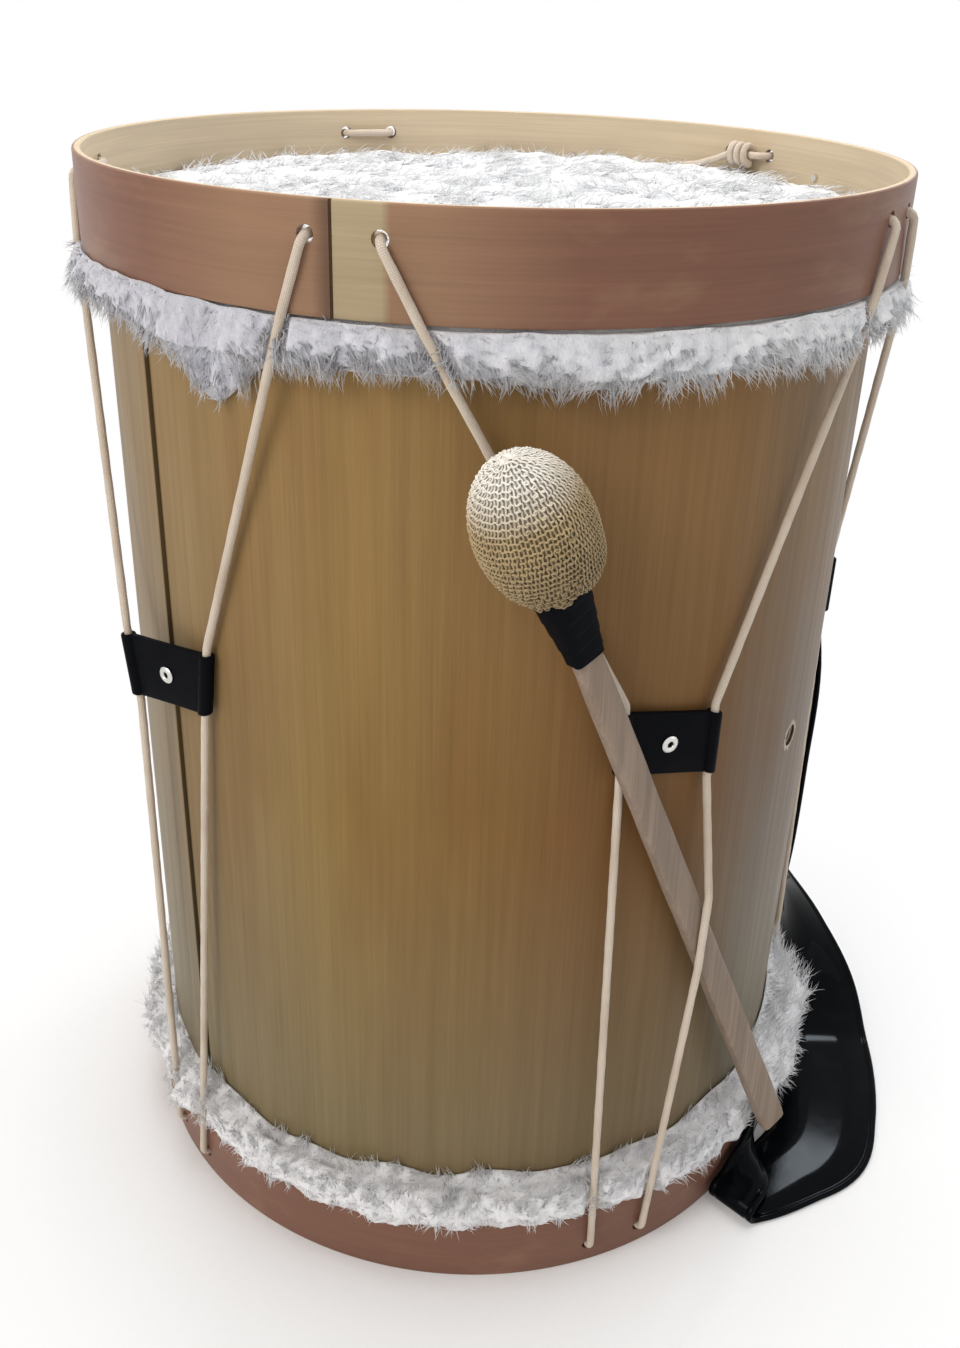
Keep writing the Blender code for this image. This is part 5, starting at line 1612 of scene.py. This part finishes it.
        count = self.STRANDS
        angle = rng.uniform(-math.pi, math.pi, count)
        radius = 0.1925 * np.sqrt(rng.uniform(0.0, 1.0, count))
        roots = on_ring(angle, radius)
        roots[:, 2] = self.face_height(roots, seed) - 0.0008
        middle = self.tuft_middles(rng, roots, 14)
        swirl = 2.5 * lumps(middle, 0.09, seed + 7) + 1.0 * lumps(middle, 0.02, seed + 9)
        swirl = swirl + rng.normal(scale=0.3, size=count)
        rise = 0.25 + 0.25 * lumps(middle, 0.02, seed + 10) + rng.uniform(0.0, 0.2, count)
        length = 0.75 * sizes.face_wool * rng.uniform(0.5, 1.0, count)
        heading = unit(np.stack([np.cos(swirl), np.sin(swirl), rise], axis=1))
        heading = heading + 0.9 * (middle - roots) / length[:, None]
        thick = 1.2 * sizes.strand * rng.uniform(0.7, 1.15, count)
        pull = -0.14 * UP
        made = fibres(rng, roots, heading, length, thick, pull, clear, 0.18)
        return self.settle(end, fibre_piece(f"{end}_face_wool", made))


class BOMBO_OT_lacing(bpy.types.Operator):
    """Lace the hoops together, with each stretch following the tab that it runs through"""

    bl_idname = "bombo.lacing"
    bl_label = "Lacing"

    # The legs from roll to tab are cut in three: name, shares of the way where it is cut, and where its
    # blend runs
    STRETCHES = (
        ("upper", None, 0.08, 0.0, 0.4624),
        ("middle", 0.08, 0.92, -0.1422, 1.1422),
        ("entry", 0.92, None, 0.5376, 1.0),
    )
    # Lengths of cord beside roll and tab, under the tab, at the foot
    STIFF_ABOVE, STIFF_BELOW, STIFF_FOOT = 0.006, 0.004, 0.025

    def execute(self, context):
        finish = cord_finish(context.scene.bombo_colours)
        diameter = context.scene.bombo_sizes.cord_diameter
        for number, (left, right, low) in enumerate(lacing_lines(), start=1):
            station = STATIONS[number - 1]
            pair = [tube("lacing_leg", bent_route(line, CORD_BEND), diameter) for line in (left, right)]
            legs = join_pieces("lacing_legs", pair)
            lower = tube(f"lacing_lower_{number}", bent_route(low, CORD_BEND), diameter)
            roll_end = ROLL_BOTTOM - self.STIFF_ABOVE
            run = roll_end - (station.height + TAB_HEIGHT / 2 + self.STIFF_ABOVE)
            for place, *shares in self.STRETCHES:
                levels = [None if share is None else (0.0, 0.0, roll_end - run * share) for share in shares]
                stretch = self.cut(legs, f"lacing_{place}_{number}", *levels[:2])
                dress(stretch, finish, "lacing_cord")
                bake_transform(stretch)
            bpy.data.objects.remove(legs)
            dress(lower, finish, "lacing_cord")
            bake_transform(lower)
        return {"FINISHED"}

    def cut(self, legs, name, top, bottom):
        """The part of the legs between two levels, or an open end, closed where it is cut."""
        part = new_piece(name, legs.data.copy())
        select_only(part)
        bpy.ops.object.mode_set(mode="EDIT")
        for level, away in ((top, 1.0), (bottom, -1.0)):
            if level is not None:
                bpy.ops.mesh.select_all(action="SELECT")
                normal = (0.0, 0.0, away)
                bpy.ops.mesh.bisect(plane_co=level, plane_no=normal, use_fill=True, clear_outer=True)
        bpy.ops.object.mode_set(mode="OBJECT")
        part.data.name = name
        smooth(part, 50)
        return part


class BOMBO_OT_tabs(bpy.types.Operator):
    """Fold the leather tension tabs round their cords and rivet them"""

    bl_idname = "bombo.tabs"
    bl_label = "Tension tabs"

    def execute(self, context):
        colours = context.scene.bombo_colours
        leather = leather_finish("black_harness_leather", colours.tab_leather, 0.5, 0.0011, 0.00004, 0.03)
        nickel = nickel_finish(colours)
        rivet_blank = self.rivet_blank()
        for number, station in enumerate(STATIONS, start=1):
            tab = self.tab(f"leather_tab_{number}", station)
            rivet = new_piece(f"tubular_rivet_{number}", rivet_blank.data.copy())
            for piece, material, slot, node in (
                (tab, leather, "tab_leather", f"tension_tab_{number}"),
                (rivet, nickel, "nickel", f"tab_rivet_{number}"),
            ):
                piece.data.transform(tab_matrix(station))
                dress(piece, material, node, f"tab_{number}")
        bpy.data.objects.remove(rivet_blank)
        return {"FINISHED"}

    def tab(self, name, station):
        """One tab in its own frame: two sleeves, the web pressed flat between them, soft cut edges."""
        start = math.pi - math.asin(TAB_WEB / TAB_SLEEVE)
        web = ((0.62, 1.06), (0.35, 1.0), (0.0, 0.98), (-0.35, 1.0), (-0.62, 1.06))
        softened = ((0.3, 0.0), (0.95, 0.0), (0.985, 0.0002), (1.0, 0.0005))
        rings = []
        for share, inset in [(-a, b) for a, b in softened[::-1]] + list(softened):
            z = share * TAB_HEIGHT / 2
            half = tab_half_width(station, z)
            reach = TAB_SLEEVE - inset
            ring = []
            for side in (1, -1):
                for i in range(25):
                    turn = start - 2 * start * i / 24
                    x, y = half + reach * math.cos(turn), reach * math.sin(turn)
                    ring.append(tab_point(station, side * x, side * y, z))
                for x, y in web:
                    ring.append(tab_point(station, side * x * half, -side * (TAB_WEB * y - inset), z))
            rings.append(ring)
        tab = lofted(name, rings)
        bores = []
        for side in (-1, 1):
            bpy.ops.mesh.primitive_cylinder_add(
                vertices=SMALL_ROUND_STEPS,
                radius=CORD_RADIUS + CORD_ROOM,
                depth=2 * TAB_HEIGHT,
                location=tab_point(station, side * TAB_CORDS_APART / 2, 0.0, 0.0),
                rotation=(0.0, side * math.atan2(station.flare, TAB_HEIGHT), 0.0),
            )
            bores.append(bpy.context.object)
        cut_out(tab, bores)
        smooth(tab, 40)
        return tab

    def rivet_blank(self):
        """Tubular rivet in the tab's frame, its rolled head facing away from the drum."""
        front = TAB_WEB + 0.0003
        bore, shank, head = 0.0014, 0.0022, 0.00425
        outline = [(0.0, -0.0002), (bore, 0.0), (bore, front + 0.0002), (bore + 0.0002, front + 0.0008)]
        outline += [(shank, front + 0.0012), (0.6 * head, front + 0.00125), (0.85 * head, front + 0.0009)]
        outline += [(head, front + 0.0004), (0.985 * head, front), (shank, front), (shank, -front)]
        outline += [(0.0034, -front), (0.0035, -front - 0.0003)]
        outline += [(0.0032, -front - 0.0006), (0.0, -front - 0.0006)]
        rivet = spun("rivet_blank", outline, SMALL_ROUND_STEPS)
        rivet.data.transform(Matrix.Rotation(math.radians(90), 4, "X"))
        smooth(rivet, 50)
        return rivet


class BOMBO_OT_mallet(bpy.types.Operator):
    """Plane the mallet's stick, knit the cover over its head and wind the tape round its neck"""

    bl_idname = "bombo.mallet"
    bl_label = "Mallet"

    def execute(self, context):
        sizes, colours = context.scene.bombo_sizes, context.scene.bombo_colours
        place = mallet_matrix()
        neck = HEAD_CENTRE + HEAD_HALF * math.cos(NECK_TURN)
        shoulder = neck - 0.0003 - BINDING_LENGTH
        turn = place.to_3x3().inverted().to_euler()
        stick = self.stick(shoulder)
        cover = self.cover(sizes)
        binding = self.binding(shoulder, neck, sizes)
        wood = raw_wood_finish("planed_stick_wood", colours.stick_wood, turn)
        for piece, material, slot, node in (
            (stick, wood, "raw_wood", "mallet_shaft"),
            (cover, yarn_finish(colours), "straw_knit", "mallet_cover"),
            (binding, tape_finish(colours), "black_tape", "mallet_binding"),
        ):
            piece.data.transform(place)
            # The mallet's frame is left-handed, so the faces are turned outward again
            piece.data.flip_normals()
            dress(piece, material, node, "mallet")
        return {"FINISHED"}

    def stick(self, shoulder):
        """Flat stick with planed, slightly wavering edges, wider at its foot."""
        rings = []
        top = HEAD_CENTRE + 0.008
        count = 60
        for k in range(count + 1):
            z = top * k / count
            share = min(z / shoulder, 1.0)
            width = SHAFT_WIDE + (SHAFT_NARROW - SHAFT_WIDE) * share
            width += 0.00025 * math.sin(z * 61) + 0.0002 * math.sin(z * 143 + 1)
            depth = SHAFT_THICKNESS - 0.0001 + 0.0001 * math.sin(z * 97 + 2)
            end = 0.5 if 0 < k < count else 0.47
            foot = 0.0006 if k == 0 else 0.0
            rings.append(soft_box(end * width, end * depth, 5.5, SMALL_ROUND_STEPS, z + foot))
        rings.insert(0, [Vector((0.85 * p.x, 0.8 * p.y, 0.0)) for p in rings[0]])
        stick = lofted("mallet_stick", rings)
        smooth(stick, 40)
        return stick

    def cover(self, sizes):
        """Knitted cover: rows of yarn loops over a lining of the same yarn, darkened as painted shade
        between the loops.
        """
        rows = [yarn_ring("yarn", ring, sizes.yarn) for ring in knitted_rows(sizes)]
        turns = [0.02 + (NECK_TURN - 0.02) * i / 40 for i in range(41)]
        lining_rings = [[head_point(t, 2 * math.pi * i / 64, 0.0011) for i in range(64)] for t in turns]
        along = [HEAD_RADIUS * t for t in turns]
        lining = lofted("lining", lining_rings[::-1], (0.15, along))
        # The lining's lower shade value is painted shade in the gaps between the loops.
        for piece, shade in ((lining, 0.38), *((row, 1.0) for row in rows)):
            add_values(piece.data, "shade", np.full(len(piece.data.vertices), shade))
        cover = join_pieces("knitted_cover", [lining, *rows])
        smooth(cover, 60)
        return cover

    def binding(self, shoulder, neck, sizes):
        """Tape wound in overlapping turns from the stick up to the cover's neck."""
        stick = (SHAFT_NARROW / 2 + 0.0012, SHAFT_THICKNESS / 2 + 0.0012)
        top = neck + 0.0015
        count, around, lap = 70, 48, 0.0004
        turns = (top - shoulder) / (0.62 * sizes.tape_width)
        rings, along = [], []
        for k in range(count + 1):
            share = k / count
            z = shoulder + (top - shoulder) * share
            swell = share**1.25
            wide, deep = (half + (NECK_RADIUS + 0.0002 - half) * swell for half in stick)
            ring = []
            for i, point in enumerate(soft_box(wide, deep, 5 - 3 * share, around, z)):
                wind = (turns * share + i / around) % 1.0
                lift = lap * (1 - wind) if 0.06 < wind else lap * wind / 0.06
                flat = Vector((point.x, point.y, 0.0))
                ring.append(point + flat.normalized() * (lift - 0.0003))
            rings.append(ring)
            along.append(z)
        binding = lofted("tape_binding", rings, (0.08, along))
        smooth(binding, 45)
        return binding


class BOMBO_OT_strap(bpy.types.Operator):
    """Hang the polished leather strap from the top hoop to the bottom hoop, with its studs"""

    bl_idname = "bombo.strap"
    bl_label = "Shoulder strap"

    def execute(self, context):
        sizes, colours = context.scene.bombo_sizes, context.scene.bombo_colours
        strap, length, area = self.sweep(sizes)
        shade = colours.strap_leather
        leather = leather_finish("polished_black_leather", shade, 0.08, 0.0013, 0.000003, 0.04)
        dress(strap, leather, "shoulder_strap", "drum")
        studs = [
            self.stud("upper", STRAP_UPPER_ANGLE, STRAP_UPPER_HEIGHT),
            self.stud("lower", STRAP_LOWER_ANGLE, STRAP_LOWER_HEIGHT),
        ]
        nickel = nickel_finish(colours)
        for end, stud in zip(("upper", "lower"), studs):
            dress(stud, nickel, f"strap_stud_{end}", "drum")
        return {"FINISHED"}

    def sweep(self, sizes):
        """Strap swept along its stations; gives it with its length and its flat area."""
        stations = strap_stations(sizes)
        columns = list(zip(*stations))
        steps = 8
        samples = [
            [smooth_between(column, span, i / steps) for column in columns]
            for span in range(len(stations) - 1)
            for i in range(steps)
        ]
        samples.append(list(stations[-1]))
        centres = [polar(angle, HOOP_OUTER + away, height) for angle, away, height, _, _ in samples]
        rings, along, area = [], [0.0], 0.0
        for i, (angle, _, _, width, lie) in enumerate(samples):
            travel = (centres[min(i + 1, len(centres) - 1)] - centres[max(i - 1, 0)]).normalized()
            across = strap_width_direction(angle, min(max(lie, 0.0), 2.0))
            across = (across - travel * across.dot(travel)).normalized()
            through = travel.cross(across).normalized()
            section = strap_section(width, sizes.strap_thickness)
            rings.append([centres[i] + across * a + through * t for a, t in section])
            if i:
                step = (centres[i] - centres[i - 1]).length
                along.append(along[-1] + step)
                area += step * (width + samples[i - 1][3]) / 2
        strap = lofted("leather_strap", rings, (2 * sizes.strap_width, along))
        face_outward(strap)
        smooth(strap, 60)
        return strap, along[-1], area

    def stud(self, end, angle, height):
        """Domed stud through the strap and the hoop behind it."""
        face = 0.0036
        outline = [(0.0, -0.006), (0.0019, -0.006), (0.0019, face)]
        outline += [(0.0048, face), (0.005, face + 0.0004)]
        outline += [(0.0045, face + 0.0009), (0.0032, face + 0.0014)]
        outline += [(0.0015, face + 0.0016), (0.0, face + 0.00165)]
        stud = spun(f"strap_rivet_{end}", outline, SMALL_ROUND_STEPS)
        stud.data.transform(
            Matrix.Translation(polar(angle, HOOP_OUTER, height))
            @ Matrix.Rotation(math.radians(angle), 4, "Z")
            @ Matrix.Rotation(math.radians(90), 4, "X")
        )
        smooth(stud, 50)
        return stud


class BOMBO_OT_frame_pieces(bpy.types.Operator):
    """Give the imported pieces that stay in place, mostly hidden ones, their finishes"""

    bl_idname = "bombo.frame_pieces"
    bl_label = "Hidden pieces"

    def execute(self, context):
        colours = context.scene.bombo_colours
        wood = raw_wood_finish("sawn_ring_wood", colours.bare_wood)
        nickel = nickel_finish(colours)
        for end in ("top", "bottom"):
            for ring in ("reinforcing_ring", "flesh_hoop"):
                paint(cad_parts[f"{end}_{ring}"], wood)
        paint(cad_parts["mallet_core"], wood)
        paint(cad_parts["seam_brad"], nickel)
        return {"FINISHED"}


class BOMBO_PT_sidebar(bpy.types.Panel):
    """Sizes, colours and building steps of the drum"""

    bl_label = "Bombo leguero"
    bl_idname = "BOMBO_PT_sidebar"
    bl_space_type = "VIEW_3D"
    bl_region_type = "UI"
    bl_category = "Bombo"

    def draw(self, context):
        for group in (context.scene.bombo_sizes, context.scene.bombo_colours):
            box = self.layout.box()
            for name in group.__annotations__:
                box.prop(group, name)
        for operator in STEPS:
            self.layout.operator(operator.bl_idname)


STEPS = (
    BOMBO_OT_stage,
    BOMBO_OT_lacing,
    BOMBO_OT_shell,
    BOMBO_OT_hoops,
    BOMBO_OT_skins,
    BOMBO_OT_tabs,
    BOMBO_OT_mallet,
    BOMBO_OT_strap,
    BOMBO_OT_frame_pieces,
)
CLASSES = (BomboSizes, BomboColours, *STEPS, BOMBO_PT_sidebar)


def register():
    for item in CLASSES:
        bpy.utils.register_class(item)
    bpy.types.Scene.bombo_sizes = bpy.props.PointerProperty(type=BomboSizes)
    bpy.types.Scene.bombo_colours = bpy.props.PointerProperty(type=BomboColours)


def unregister():
    del bpy.types.Scene.bombo_colours
    del bpy.types.Scene.bombo_sizes
    for item in reversed(CLASSES):
        bpy.utils.unregister_class(item)


def main():
    register()
    bpy.ops.bombo.stage()
    bpy.ops.bombo.lacing()
    bpy.ops.bombo.shell()
    bpy.ops.bombo.hoops()
    bpy.ops.bombo.skins()
    bpy.ops.bombo.tabs()
    bpy.ops.bombo.mallet()
    bpy.ops.bombo.strap()
    bpy.ops.bombo.frame_pieces()


if __name__ == "__main__":
    main()
